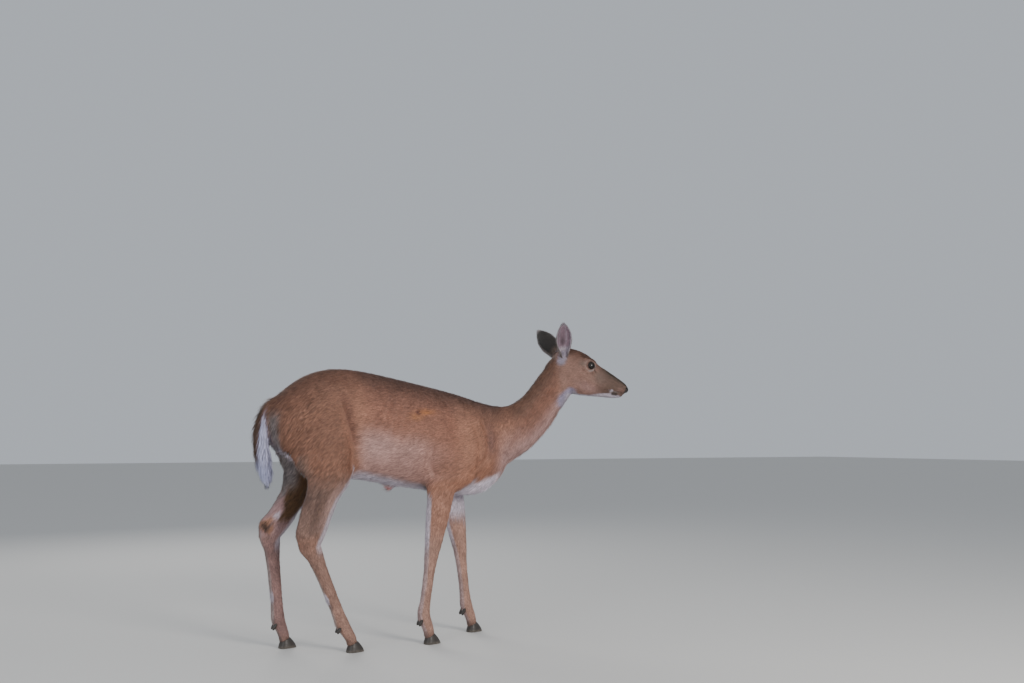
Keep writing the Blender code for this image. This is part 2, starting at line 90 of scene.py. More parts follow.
def as_mesh(shape, name):
    """A mesh made from a bmesh, which is then freed."""
    made = bpy.data.meshes.new(name)
    shape.to_mesh(made)
    shape.free()
    return made


def joined(shapes, name):
    """One mesh of several bmeshes."""
    together = bmesh.new()
    for shape in shapes:
        loose = as_mesh(shape, "loose")
        together.from_mesh(loose)
        bpy.data.meshes.remove(loose)
    return as_mesh(together, name)


def finished(thing, modifier_name, kind, **settings):
    """Gives thing the mesh that one modifier makes of it."""
    modifier = thing.modifiers.new(modifier_name, kind)
    for setting, value in settings.items():
        setattr(modifier, setting, value)
    graph = bpy.context.evaluated_depsgraph_get()
    result = bpy.data.meshes.new_from_object(thing.evaluated_get(graph))
    thing.modifiers.remove(modifier)
    old = thing.data
    thing.data = result
    bpy.data.meshes.remove(old)


def new_piece(name, mesh):
    piece = bpy.data.objects.new(name, mesh)
    bpy.context.scene.collection.objects.link(piece)
    return piece


def numbers_of(items, what, width=1, kind=np.float32):
    """A quantity of all the items of a mesh, in rows where it has several numbers."""
    flat = np.empty(len(items) * width, kind)
    items.foreach_get(what, flat)
    return flat.reshape(-1, width) if width > 1 else flat


def points_of(mesh):
    return numbers_of(mesh.vertices, "co", 3).astype(float)


def normals_of(mesh):
    return numbers_of(mesh.vertex_normals, "vector", 3).astype(float)


def put_points(mesh, points):
    mesh.vertices.foreach_set("co", points.astype(np.float32).ravel())
    mesh.update()


def links_of(mesh):
    """Each edge of the mesh in both directions, and the number of neighbours of each point."""
    pairs = numbers_of(mesh.edges, "vertices", 2, np.int32)
    start = np.concatenate([pairs[:, 0], pairs[:, 1]])
    end = np.concatenate([pairs[:, 1], pairs[:, 0]])
    count = np.maximum(np.bincount(start, minlength=len(mesh.vertices)), 1)
    return start, end, count


def relaxed(values, links, rounds, weight=0.5):
    """Values moved towards the mean of their neighbours, again and again."""
    start, end, count = links
    amount = np.broadcast_to(np.asarray(weight, float), (len(values),))[:, None]
    table = values.reshape(len(values), -1).astype(float)
    for _ in range(rounds):
        mean = np.stack([np.bincount(start, table[end, k], len(table)) for k in range(table.shape[1])], 1)
        table = table + (mean / count[:, None] - table) * amount
    return table.reshape(values.shape)


def ramp(value, low, high):
    """0 below low, 1 above high, and a soft step between them. Low may be the larger."""
    share = np.clip((value - low) / (high - low), 0.0, 1.0)
    return share * share * (3.0 - 2.0 * share)


def bump(value, middle, width):
    """1 at the middle and falling away to either side."""
    return np.exp(-(((value - middle) / width) ** 2))


def unit(vectors):
    return vectors / np.maximum(np.linalg.norm(vectors, axis=-1, keepdims=True), 1e-9)


# The head has a frame of its own, taken from the line between the eyes: forward, upward, sideways.
HEAD_DIP = math.radians(20)
EYE_RADIUS = 0.0168
EYE_FORWARD = 0.0955
EYE_RISE = 0.0485
eye_left_at = np.array(sum(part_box("eye_left"), Vector())) / 2
eye_right_at = np.array(sum(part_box("eye_right"), Vector())) / 2
sideways = unit(eye_left_at - eye_right_at)
ahead = np.array([sideways[1], -sideways[0], 0.0])
forward = ahead * math.cos(HEAD_DIP) - np.array([0.0, 0.0, math.sin(HEAD_DIP)])
upward = ahead * math.sin(HEAD_DIP) + np.array([0.0, 0.0, math.cos(HEAD_DIP)])
HEAD_AXES = np.stack([forward, upward, sideways])
head_at = (eye_left_at + eye_right_at) / 2 - forward * EYE_FORWARD - upward * EYE_RISE
EYES = ((1.0, eye_left_at, "left"), (-1.0, eye_right_at, "right"))


def in_head(points):
    return (points - head_at) @ HEAD_AXES.T


def from_head(places):
    return np.asarray(places, float) @ HEAD_AXES + head_at


def nearest_parts(points, names):
    """For each point, which of the named solids it lies nearest to."""
    best = np.full(len(points), 1e9)
    label = np.zeros(len(points), int)
    for number, name in enumerate(names):
        low, high = (np.array(corner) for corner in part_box(name))
        near = np.all((points > low - 0.012) & (points < high + 0.012), axis=1)
        shape = welded(name, 0.0)
        tree = BVHTree.FromBMesh(shape)
        shape.free()
        for k in np.nonzero(near)[0]:
            distance = tree.find_nearest(Vector(points[k]), 0.03)[3]
            if distance is not None and distance < best[k]:
                best[k] = distance
                label[k] = number
    return label


def groove(points, path, width):
    """1 on a path and falling away to either side of it."""
    nearest = np.full(len(points), 1e9)
    for begin, stop in zip(path, path[1:]):
        begin = np.array(begin)
        along = np.array(stop) - begin
        share = np.clip((points - begin) @ along / max(along @ along, 1e-12), 0.0, 1.0)
        nearest = np.minimum(nearest, np.linalg.norm(points - begin - share[:, None] * along, axis=1))
    return bump(nearest, 0.0, width)


shapes = [welded(name, JOIN_GROWTH) for name in FLESH]
shapes += [welded("eye_" + which, EYE_GROWTH) for side, middle, which in EYES]
skin = new_piece("skin", joined(shapes, "skin"))
finished(skin, "one_skin", "REMESH", mode="VOXEL", voxel_size=SKIN_GRAIN, adaptivity=0.0)

links = links_of(skin.data)
points = points_of(skin.data)
label = nearest_parts(points, FLESH)
amount = np.array([SMOOTHING_SHARE[name] for name in FLESH])[label]
amount = np.maximum(amount, (label >= FLESH.index("foreleg_left")) * ramp(points[:, 2], 0.44, 0.56))
depth = np.array([COAT_DEPTH[name] for name in FLESH])[label]
amount = relaxed(amount, links, 8)
depth = relaxed(depth, links, 12)
points = relaxed(points, links, SMOOTHING_ROUNDS, 0.6 * amount)
put_points(skin.data, points)
normals = normals_of(skin.data)

# Forms of the body that show through the coat, pressed in (+) or raised (-), seen from the side:
# path of (x, z) points, half width, depth.
BODY_FORMS = (
    (((-0.444, 0.845), (-0.42, 0.774), (-0.397, 0.688), (-0.405, 0.64)), 0.013, 0.0065),  # flank crease
    (((-0.47, 0.8), (-0.448, 0.72), (-0.44, 0.655)), 0.02, -0.004),  # front of the thigh
    (((0.108, 0.8), (0.127, 0.734), (0.118, 0.667), (0.06, 0.615)), 0.009, 0.0042),  # base of the neck
    (((0.073, 0.78), (0.094, 0.704), (0.074, 0.642)), 0.008, 0.003),
    (((0.145, 0.77), (0.155, 0.7), (0.135, 0.64)), 0.01, -0.003),
    (((-0.04, 0.905), (-0.01, 0.8), (0.01, 0.72)), 0.02, 0.0035),  # behind the shoulder blade
    (((0.02, 0.9), (0.048, 0.8), (0.062, 0.715)), 0.022, -0.0035),  # spine of the shoulder blade
    (((-0.1, 0.6), (-0.122, 0.64), (-0.11, 0.69)), 0.012, 0.005),  # behind the elbow
    (((-0.3, 0.72), (-0.24, 0.69), (-0.17, 0.68)), 0.045, -0.004),  # belly of the barrel
    (((-0.526, 0.56), (-0.545, 0.47), (-0.56, 0.41)), 0.01, 0.0045),  # in front of the tendon of the hock
    (((-0.5, 0.82), (-0.56, 0.77), (-0.6, 0.69)), 0.022, 0.003),  # between the muscles of the thigh
    (((-0.545, 0.86), (-0.6, 0.8), (-0.64, 0.71)), 0.022, -0.003),
    (((0.23, 0.7), (0.3, 0.8), (0.39, 0.9)), 0.013, 0.004),  # groove along the windpipe
    (((0.27, 0.83), (0.33, 0.9)), 0.03, -0.002),
    (((-0.16, 0.93), (-0.28, 0.915), (-0.4, 0.93)), 0.012, 0.0016),  # beside the spine
)
on_side = ramp(np.abs(points[:, 1]), 0.020, 0.050)
pressed = np.zeros(len(points))
for path, width, deep in BODY_FORMS:
    pressed += groove(points[:, [0, 2]], path, width) * deep
# Ribs, faint and slanting back, over the middle of the barrel.
rib = np.sin((points[:, 0] - 0.35 * points[:, 2]) * 2 * math.pi / 0.036)
barrel = ramp(points[:, 0], -0.36, -0.28) * ramp(points[:, 0], -0.06, -0.12) * ramp(points[:, 2], 0.66, 0.72)
pressed += rib * barrel * ramp(points[:, 2], 0.90, 0.84) * 0.0005
off_head = relaxed(1.0 - (label == FLESH.index("head")), links, 20)
points = points - normals * (pressed * on_side * off_head + depth)[:, None]
put_points(skin.data, points)

# Eyelids, nose and lips need a finer skin than the flanks.
def split_edges(mesh, chosen):
    """Halves the edges of the faces whose middles are chosen."""
    fine = bmesh.new()
    fine.from_mesh(mesh)
    edges = set()
    for face in fine.faces:
        middle = face.calc_center_median()
        if chosen(middle):
            edges.update(face.edges)
    bmesh.ops.subdivide_edges(fine, edges=list(edges), cuts=1, use_grid_fill=True)
    bmesh.ops.triangulate(fine, faces=[face for face in fine.faces if len(face.verts) > 4])
    fine.to_mesh(mesh)
    fine.free()


HEAD_ZONE = Vector(from_head((0.150, 0.0, 0.0)))
EYE_SPOTS = (Vector(eye_left_at), Vector(eye_right_at))
NOSE_SPOT = Vector(from_head((0.262, 0.005, 0.0)))
MOUTH_SPOT = Vector(from_head((0.230, -0.008, 0.0)))
split_edges(skin.data, lambda middle: min((middle - spot).length for spot in EYE_SPOTS) < 0.034
            or (middle - NOSE_SPOT).length < 0.046 or (middle - MOUTH_SPOT).length < 0.044)
split_edges(skin.data, lambda middle: min((middle - spot).length for spot in EYE_SPOTS) < 0.026
            or (middle - NOSE_SPOT).length < 0.036)
points = points_of(skin.data)
links = links_of(skin.data)
in_zone = ramp(np.linalg.norm(points - np.array(HEAD_ZONE), axis=1), 0.160, 0.130)
points = relaxed(points, links, 8, 0.5 * in_zone)
put_points(skin.data, points)
normals = normals_of(skin.data)

# Grooves and swellings of the face, in the frame of the head, the same on both sides.
FACE_FORMS = (
    (((0.283, 0.001, 0.0), (0.275, -0.002, 0.012), (0.256, -0.006, 0.0225),
      (0.229, -0.011, 0.0255), (0.2045, -0.015, 0.0265)), 0.0017, 0.0026),  # mouth
    (((0.26, -0.013, 0.02), (0.235, -0.019, 0.024), (0.21, -0.023, 0.026)), 0.0045, -0.0012),  # lip
    (((0.201, -0.008, 0.027), (0.196, -0.019, 0.0275)), 0.004, 0.0012),  # corner of the mouth
    (((0.289, 0.022, 0.0), (0.284, 0.003, 0.0)), 0.0014, 0.0012),  # middle of the nose pad
    (((0.123, 0.025, 0.04), (0.15, 0.01, 0.036), (0.17, 0.002, 0.034)), 0.006, 0.0018),  # below the eye
    (((0.07, 0.005, 0.048), (0.11, -0.002, 0.046), (0.15, -0.006, 0.04)), 0.009, -0.0018),  # cheek bone
    (((0.085, -0.015, 0.044), (0.11, -0.032, 0.038), (0.13, -0.042, 0.03)), 0.008, -0.0012),  # jaw muscle
    (((0.115, 0.042, 0.042), (0.129, 0.033, 0.039)), 0.0028, 0.0022),  # gland before the eye
    (((0.105, 0.078, 0.026), (0.14, 0.068, 0.02)), 0.007, -0.0012),  # edge of the forehead
    (((0.15, 0.056, 0.01), (0.22, 0.042, 0.009)), 0.006, 0.0008),  # beside the nose bone
    (((0.072, 0.068, 0.044), (0.1, 0.069, 0.044), (0.12, 0.06, 0.04)), 0.0085, -0.0028),  # brow
    (((0.066, 0.056, 0.046), (0.064, 0.04, 0.048), (0.078, 0.025, 0.048)), 0.008, -0.0022),  # orbit
    (((0.078, 0.025, 0.048), (0.1, 0.02, 0.046), (0.12, 0.028, 0.042)), 0.007, -0.0014),
)


def right_half(places):
    """The same places with both sides of the head laid over each other."""
    return np.stack([places[:, 0], places[:, 1], np.abs(places[:, 2])], 1)


def on_skin(path, surface):
    """A path drawn on to the nearest points of the surface, in between too."""
    knots = np.asarray(path, float)
    share = np.linspace(0.0, len(knots) - 1.0, 4 * (len(knots) - 1) + 1)
    steps = np.stack([np.interp(share, np.arange(len(knots)), knots[:, k]) for k in range(3)], 1)
    return [surface[np.argmin(np.linalg.norm(surface - step, axis=1))] for step in steps]


mirrored = right_half(in_head(points))
pressed = np.zeros(len(points))
for path, width, deep in FACE_FORMS:
    pressed += groove(mirrored, on_skin(path, mirrored), width) * deep
points = points - normals * (pressed * ramp(points[:, 0], 0.45, 0.48))[:, None]

# Nostrils: a comma that opens forward and to the side, its tail curling back over the wing.
NOSTRIL = ((0.283, 0.012, 0.012), (0.28, 0.017, 0.016), (0.274, 0.0215, 0.019), (0.268, 0.0205, 0.0215))
place = in_head(points)
mirrored = right_half(place)
nostril_line = on_skin(NOSTRIL, mirrored)
hole = groove(mirrored, nostril_line, 0.0026)
wing = groove(mirrored, nostril_line, 0.0065)
inwards = from_head((-0.8, -0.1, 0.0)) - head_at
side_of = np.sign(place[:, 2:])
points = points + normals * (0.0016 * wing * (1.0 - hole))[:, None]
points = points + (inwards - side_of * sideways * 0.35) * (0.0085 * hole ** 1.5)[:, None]
put_points(skin.data, points)

# Lids: the skin closes over the ball of the eye, with an almond opening. Inside the opening
# it dives behind the ball, so that the lid has a rim.
ALMOND = 0.0110  # half its length
UPPER_LID = 0.0079  # its height above and below the line through the corners
LOWER_LID = 0.0070
LID = 0.0013
LID_TILT = math.radians(-13)  # the front corner lies lower
LID_REACH = 0.030  # how far from the middle of the eye the skin is reshaped
RIM_SNAP = 0.0007
RIM_DEPTH = 0.0032  # how far behind the front of the ball the rim dives


def eye_axes(side, tilt=0.0):
    """The ways out of an eye, along it and up it, the line through its corners tilted."""
    out = unit(from_head((0.20, 0.10, side)) - head_at)
    length_way = unit(forward - out * (forward @ out))
    height_way = np.cross(out, length_way) * side
    return (out, length_way * math.cos(tilt) + height_way * math.sin(tilt),
            height_way * math.cos(tilt) - length_way * math.sin(tilt))


def on_sphere(radius, x, y, least):
    """How far out a ball of this radius reaches over the places x, y."""
    return np.sqrt(np.maximum(radius ** 2 - x ** 2 - y ** 2, least))


for side, middle, which in EYES:
    out, length_way, height_way = eye_axes(side, LID_TILT)
    offset = points - middle
    distance = np.linalg.norm(offset, axis=1)
    z = offset @ out
    near = np.nonzero((distance < 0.036) & (z > 0.0))[0]
    x, y, z = (offset @ length_way)[near], (offset @ height_way)[near], z[near]
    share = np.clip(np.abs(x) / ALMOND, 0.0, 0.999)
    arch = np.sqrt(1.0 - share ** 2) * (1.0 - 0.25 * share)
    edge_height = np.where(y > 0, UPPER_LID, LOWER_LID) * arch
    outside = np.where(np.abs(x) < ALMOND, np.abs(y) - edge_height, np.hypot(np.abs(x) - ALMOND, y))
    # Points close to the rim are drawn on to it, so that its edge is clean.
    snap = (np.abs(outside) < RIM_SNAP) & (np.abs(x) < ALMOND)
    y = np.where(snap, np.sign(y) * edge_height, y)
    outside = np.where(snap, 0.0, outside)
    closeness = bump(np.maximum(outside, 0.0), 0.0, 0.0085)
    swell = 0.0007 * bump(outside, 0.0016, 0.0013)
    crease = 0.0011 * bump(outside, 0.0052, 0.0012) * (y > 0) * ramp(share, 1.0, 0.6)
    on_ball = on_sphere(EYE_RADIUS + LID, x, y, 1e-8)
    lidded = z * (1.0 - closeness) + on_ball * closeness + swell - crease
    lidded = np.maximum(lidded, on_sphere(EYE_RADIUS + 0.0005, x, y, 0.0))
    new_z = np.where(outside < -0.0001, on_sphere(EYE_RADIUS - RIM_DEPTH, x, y, 1e-8), lidded)
    moved = middle + x[:, None] * length_way + y[:, None] * height_way + new_z[:, None] * out
    keep = np.hypot(x, y) < LID_REACH
    points[near[keep]] = moved[keep]
put_points(skin.data, points)

# Ears: a cup of thin gristle with skin on both faces, rolled into a tube at its root.
EAR_FORWARD, EAR_RISE, EAR_OUT = -0.026, 0.060, 0.0380
EAR_COLUMNS = 19
EAR_ROWS = 34
EAR_GRISTLE = 0.0024
EAR_BOW = 0.010
# Share of the length, half width, half the angle that the cup is rolled through.
EAR_FORM = np.array(((0.00, 0.0145, 140.0), (0.14, 0.0185, 120.0), (0.30, 0.0275, 88.0), (0.50, 0.0345, 72.0),
                     (0.70, 0.0320, 62.0), (0.86, 0.0215, 52.0), (0.96, 0.0095, 45.0), (1.00, 0.0030, 40.0)))
# Which side, length, breadth as a share, the way it leans, the way its opening faces.
EARS = {"ear_right": (-1.0, 0.138, 0.95, (-0.036, -0.070, 0.136), (-0.12, -0.98, 0.0)),
        "ear_left": (1.0, 0.162, 1.08, (-0.040, 0.100, 0.104), (0.40, 0.90, 0.0))}


def ear_axes(name):
    side, length, breadth, lean, opening = EARS[name]
    root = from_head((EAR_FORWARD, EAR_RISE, side * EAR_OUT))
    along = unit(np.array(lean))
    facing = unit(np.array(opening) - along * (along @ np.array(opening)))
    return root, along, facing, np.cross(along, facing), length


def eased(row, column):
    """A column of the ear's form at a row, with its corners rounded."""
    around = np.clip(row + np.linspace(-0.07, 0.07, 15) * min(1.0, 8.0 * (1.0 - row)), 0.0, 1.0)
    weights = np.hanning(17)[1:-1]
    return float(np.interp(around, EAR_FORM[:, 0], EAR_FORM[:, column]) @ weights / weights.sum())


def ear_sheet(name):
    root, along, facing, across, length = ear_axes(name)
    bm = bmesh.new()
    lines = []
    for row in 0.985 * np.linspace(0.0, 1.0, EAR_ROWS) ** 0.9:
        half_width = EARS[name][2] * eased(row, 1) - 0.0010
        spread = math.radians(eased(row, 2))
        radius = half_width / math.sin(min(spread, math.pi / 2))
        bow = EAR_BOW * math.sin(math.pi * row)
        line = []
        for column in range(EAR_COLUMNS):
            share = 2 * column / (EAR_COLUMNS - 1) - 1
            angle = spread * share
            ridge = 0.0009 * math.sin(share * 9.0) * math.sin(math.pi * row) * (1.0 - abs(share))
            back = radius * math.cos(angle) - radius + bow + ridge
            spot = root + along * (length * (row - 0.12)) + across * (radius * math.sin(angle))
            line.append(bm.verts.new(spot - facing * back))
        lines.append(line)
    for low, high in zip(lines, lines[1:]):
        for column in range(EAR_COLUMNS - 1):
            bm.faces.new((low[column], low[column + 1], high[column + 1], high[column]))
    return as_mesh(bm, "ear_sheet")


for ear_name in EARS:
    ear = new_piece("ear_sheet", ear_sheet(ear_name))
    finished(ear, "gristle", "SOLIDIFY", thickness=EAR_GRISTLE, offset=0.0)
    finished(skin, "join_ear", "BOOLEAN", operation="UNION", solver="EXACT", object=ear)
    bpy.data.objects.remove(ear)

# The flanks and legs need far fewer faces than the face.
SKIN_FACES = 180000
points = points_of(skin.data)
from_face = np.linalg.norm(points - np.array(HEAD_ZONE), axis=1)
ear_root_spots = [from_head((EAR_FORWARD, EAR_RISE, side * EAR_OUT)) for side in (-1.0, 1.0)]
from_ear = np.min([np.linalg.norm(points - spot, axis=1) for spot in ear_root_spots], axis=0)
links = links_of(skin.data)
points = relaxed(points, links, 6, 0.5 * ramp(from_ear, 0.034, 0.022) * ramp(points[:, 2], 1.080, 1.062))
put_points(skin.data, points)
thinned = skin.vertex_groups.new(name="plain")
plain = ramp(np.minimum(from_face, from_ear), 0.130, 0.170)
thinned.add([int(k) for k in np.nonzero(plain > 0.5)[0]], 1.0, "REPLACE")
faces_now = sum(len(face.vertices) - 2 for face in skin.data.polygons)
finished(skin, "plain", "DECIMATE", ratio=min(1.0, SKIN_FACES / faces_now), vertex_group="plain",
         vertex_group_factor=1.0)

# The lie of the coat, its length and its colours are worked out for each point of the skin,
# so that the skin and the hair on it always carry the same markings.
points = points_of(skin.data)
normals = normals_of(skin.data)
links = links_of(skin.data)
ahead_at, height_at, facing_ahead = points[:, 0], points[:, 2], normals[:, 0]
PARTS = FLESH + EAR_NODES
label = nearest_parts(points, PARTS)
place = in_head(points)
mirrored = right_half(place)
part = {}
for number, name in enumerate(PARTS):
    part[name] = relaxed((label == number).astype(float), links, 14)
total = sum(part.values())
for name in PARTS:
    part[name] = part[name] / total
legs = sum(part[name] for name in LEGS)
ears = part["ear_left"] + part["ear_right"]
ears_hard = (label >= len(FLESH)).astype(float)


def slices(chosen, way, low, high, count, kind):
    """A quantity of the chosen points, slice by slice along a way: the middle, top or bottom."""
    marks = np.linspace(low, high, count)
    reach = (high - low) / (count - 1)
    position = chosen @ way
    rows = []
    for mark in marks:
        inside = chosen[np.abs(position - mark) < reach]
        if len(inside) < 3:
            rows.append(rows[-1] if rows else chosen.mean(axis=0))
        elif kind == "middle":
            rows.append((inside.min(axis=0) + inside.max(axis=0)) / 2)
        else:
            rows.append(inside.max(axis=0) if kind == "top" else inside.min(axis=0))
    return marks, np.array(rows)


def lookup(marks, rows, position):
    return np.stack([np.interp(position, marks, rows[:, k]) for k in range(3)], 1)


X_WAY = np.array([1.0, 0.0, 0.0])
Z_WAY = np.array([0.0, 0.0, 1.0])
lie = np.zeros_like(points)
trunk_points = points[label == FLESH.index("trunk")]
x_low, x_high = trunk_points[:, 0].min() + 0.01, trunk_points[:, 0].max() - 0.01
top_marks, top_rows = slices(trunk_points, X_WAY, x_low, x_high, 60, "top")
low_marks, low_rows = slices(trunk_points, X_WAY, x_low, x_high, 60, "bottom")
back_height = np.interp(ahead_at, top_marks, top_rows[:, 2])
belly_height = np.interp(ahead_at, low_marks, low_rows[:, 2])
rise = (height_at - belly_height) / (back_height - belly_height)
# Along the trunk the hair runs back and a little down, and over the rump it turns down.
rump = ramp(ahead_at, -0.42, -0.62)
breast = ramp(ahead_at, 0.02, 0.16)
trunk_lie = np.stack([-1.0 + 0.45 * rump + 0.35 * breast, np.zeros(len(points)),
                      -0.22 - 0.60 * rump - 0.75 * breast - 0.12 * (1.0 - rise)], 1)
lie += part["trunk"][:, None] * trunk_lie
lie += part["neck"][:, None] * np.array([-0.62, 0.0, -0.78])
# On the head it runs from the nose back, and turns down on the cheeks.
cheek = ramp(place[:, 0], 0.17, 0.05) * ramp(place[:, 1], 0.05, -0.02)
lie += part["head"][:, None] * (-forward + cheek[:, None] * (-0.45 * upward))
leg_axis = {}
leg_front = {}
leg_rear = {}
for name in LEGS:
    chosen = points[label == PARTS.index(name)]
    top = chosen[:, 2].max() - 0.04
    marks, rows = slices(chosen, Z_WAY, 0.042, top, 60, "middle")
    leg_axis[name] = (marks, rows)
    leg_front[name] = slices(chosen, Z_WAY, 0.042, top, 60, "top")[1]
    leg_rear[name] = slices(chosen, Z_WAY, 0.042, top, 60, "bottom")[1]
    height = np.clip(height_at, marks[0], marks[-1])
    step = lookup(marks, rows, height - 0.015) - lookup(marks, rows, height + 0.015)
    # High on the leg the hair still runs back as well as down.
    thigh_way = np.array([-0.62, 0.0, -0.78]) if name.startswith("hind") else np.array([-0.50, 0.0, -0.86])
    high = ramp(height_at, 0.42, 0.56)[:, None]
    lie += part[name][:, None] * (unit(step) * (1.0 - high) + thigh_way * high)
lie += part["tail"][:, None] * np.array([-0.08, 0.0, -1.0])
for name in EAR_NODES:
    root, along, facing, across, length = ear_axes(name)
    lie += part[name][:, None] * along
lie = relaxed(lie, links, 24)
lie = unit(lie - normals * np.sum(lie * normals, axis=1)[:, None])

# Shared places for the markings.
side_of = np.sign(points[:, 1])
facing_in = -normals[:, 1] * side_of
facing_down = -normals[:, 2]
broad = unit(relaxed(normals, links, 60))
ear_inner = np.zeros(len(points))
ear_rim = np.zeros(len(points))
ear_share = np.zeros(len(points))
ear_side = np.zeros(len(points))
for name in EAR_NODES:
    root, along, facing, across, length = ear_axes(name)
    offset = points - root
    share = offset @ along / length + 0.12
    half_width = EARS[name][2] * np.interp(share, EAR_FORM[:, 0], EAR_FORM[:, 1])
    sideness = np.abs(offset @ across) / np.maximum(half_width, 0.003)
    chosen = (label == PARTS.index(name)).astype(float)
    centre = root + along * (offset @ along)[:, None]
    spread = np.radians(np.interp(share, EAR_FORM[:, 0], EAR_FORM[:, 2]))
    radius = half_width / np.sin(np.minimum(spread, 1.5708))
    hub = centre + facing * (radius - EAR_BOW * np.sin(math.pi * np.clip(share, 0, 1)))[:, None]
    towards_hub = np.sum(normals * unit(hub - points), axis=1)
    ear_inner += chosen * ramp(towards_hub, -0.1, 0.3)
    ear_rim += chosen * np.maximum(ramp(sideness, 0.78, 0.97), ramp(share, 0.88, 0.97))
    ear_share += chosen * np.clip(share, 0.0, 1.0)
    ear_side += chosen * (offset @ across) / np.maximum(half_width, 0.003)
behind_front = np.ones(len(points))
ahead_of_rear = np.ones(len(points))
for name in LEGS:
    own = label == PARTS.index(name)
    marks = leg_axis[name][0]
    behind_front[own] = (lookup(marks, leg_front[name], height_at) - points)[own, 0]
    ahead_of_rear[own] = (points - lookup(marks, leg_rear[name], height_at))[own, 0]
# On the right thigh the outer surface ends a little behind the front of the leg as a whole.
fold = np.interp(height_at, (0.376, 0.449, 0.534, 0.621), (-0.509, -0.469, -0.427, -0.382))
own = label == PARTS.index("hindleg_right")
behind_front[own] = np.minimum(behind_front, fold - ahead_at)[own]
behind_front = relaxed(behind_front, links, 3)
ahead_of_rear = relaxed(ahead_of_rear, links, 3)

# Length, width and lift of the hair, and how closely it grows.
GROWTH = {  # length, width, lift in degrees
    "trunk": (0.0185, 0.0018, 7.0), "neck": (0.0200, 0.0019, 7.0), "head": (0.0100, 0.0012, 8.0),
    "tail": (0.048, 0.0030, 8.0), "ear_left": (0.0075, 0.0010, 9.0), "ear_right": (0.0075, 0.0010, 9.0)}
GROWTH.update({name: (0.0135, 0.0016, 6.5) for name in LEGS})
hair = sum(part[name][:, None] * np.array(GROWTH[name]) for name in PARTS)
muzzle = part["head"] * ramp(place[:, 0], 0.14, 0.25)
throat = part["neck"] * ramp(facing_ahead, 0.2, 0.7)
belly = part["trunk"] * ramp(facing_down, 0.45, 0.85)
hair[:, 0] *= 1.0 - 0.42 * muzzle
hair[:, 1] *= 1.0 - 0.25 * muzzle
near_eye = np.min([np.linalg.norm(points - spot, axis=1) for spot in (eye_left_at, eye_right_at)], axis=0)
hair[:, 0] *= 1.0 - 0.45 * ramp(near_eye, 0.034, 0.021)
hair[:, 1] *= 1.0 - 0.30 * ramp(near_eye, 0.034, 0.021)
hair[:, 0] *= 1.0 + 0.30 * throat + 0.60 * belly
hair[:, 2] += 5.0 * throat + 6.0 * belly
# The backs of the thighs carry the coarsest hair, in locks that stand a little apart.
haunch = (part["trunk"] + part["hindleg_left"] + part["hindleg_right"]) * ramp(ahead_at, -0.43, -0.56) * \
    ramp(height_at, 0.45, 0.55) * ramp(height_at, 0.93, 0.84)
hair[:, 0] *= 1.0 - 0.45 * legs * ramp(height_at, 0.30, 0.06)
hair[:, 1] *= 1.0 - 0.25 * legs * ramp(height_at, 0.30, 0.06)
# Thighs and forearms carry hair as long as the trunk's near their tops.
upper_leg = legs * ramp(height_at, 0.42, 0.58)
hair[:, 0] *= 1.0 + 0.40 * upper_leg
hair[:, 1] *= 1.0 + 0.15 * upper_leg
hair[:, 0] *= 1.0 + 0.25 * haunch
hair[:, 1] *= 1.0 + 0.40 * haunch
# The tail's hair is shorter at its tip.
hair[:, 0] *= 1.0 - 0.45 * part["tail"] * ramp(height_at, 0.640, 0.590)
hair[:, 2] += 5.0 * haunch
# The hair is longer just above the dewclaws and round the tops of the hooves.
above_claws = legs * bump(height_at, 0.097, 0.008) * ramp(facing_ahead, -0.3, -0.8)
hair[:, 0] *= 1.0 + 0.8 * above_claws + 0.35 * legs * ramp(height_at, 0.060, 0.045)
hair[:, 2] += 6.0 * above_claws
# Tufts on the inner side of the hock and on the outer side of the hind shank.
HOCKS = {"hindleg_left": (-0.662, 0.429), "hindleg_right": (-0.565, 0.405)}  # middle of each gland
hock = np.zeros(len(points))
pale_patch = np.zeros(len(points))
stain = np.zeros(len(points))
shank_tuft = np.zeros(len(points))
for name in ("hindleg_left", "hindleg_right"):
    marks, rows = leg_axis[name]
    heel_x, heel_z = HOCKS[name]
    inner = part[name] * ramp(facing_in, -0.5, -0.1)
    across, above = ahead_at - heel_x, height_at - heel_z
    hock += inner * np.exp(-(((across + 0.4 * above) / 0.018) ** 2) - (above / 0.019) ** 2)
    pale_patch += inner * np.exp(-(((across - 0.033) / 0.0080) ** 2) - ((above - 0.036) / 0.0125) ** 2)
    stain += inner * np.exp(-(((across - 0.012) / 0.017) ** 2) - ((above - 0.014) / 0.021) ** 2)
    shank_tuft += part[name] * bump(height_at, 0.190, 0.017) * ramp(ahead_of_rear, 0.012, 0.006)
hair[:, 0] *= 1.0 + 0.6 * hock + 0.9 * shank_tuft
hair[:, 2] += 6.0 * hock + 5.0 * shank_tuft
hair[:, 0] += ears * (1.0 - ear_inner) * 0.002 + ear_rim * 0.003 + ears * ramp(ear_share, 0.22, 0.12) * 0.006
hair[:, 2] += ear_rim * 6.0
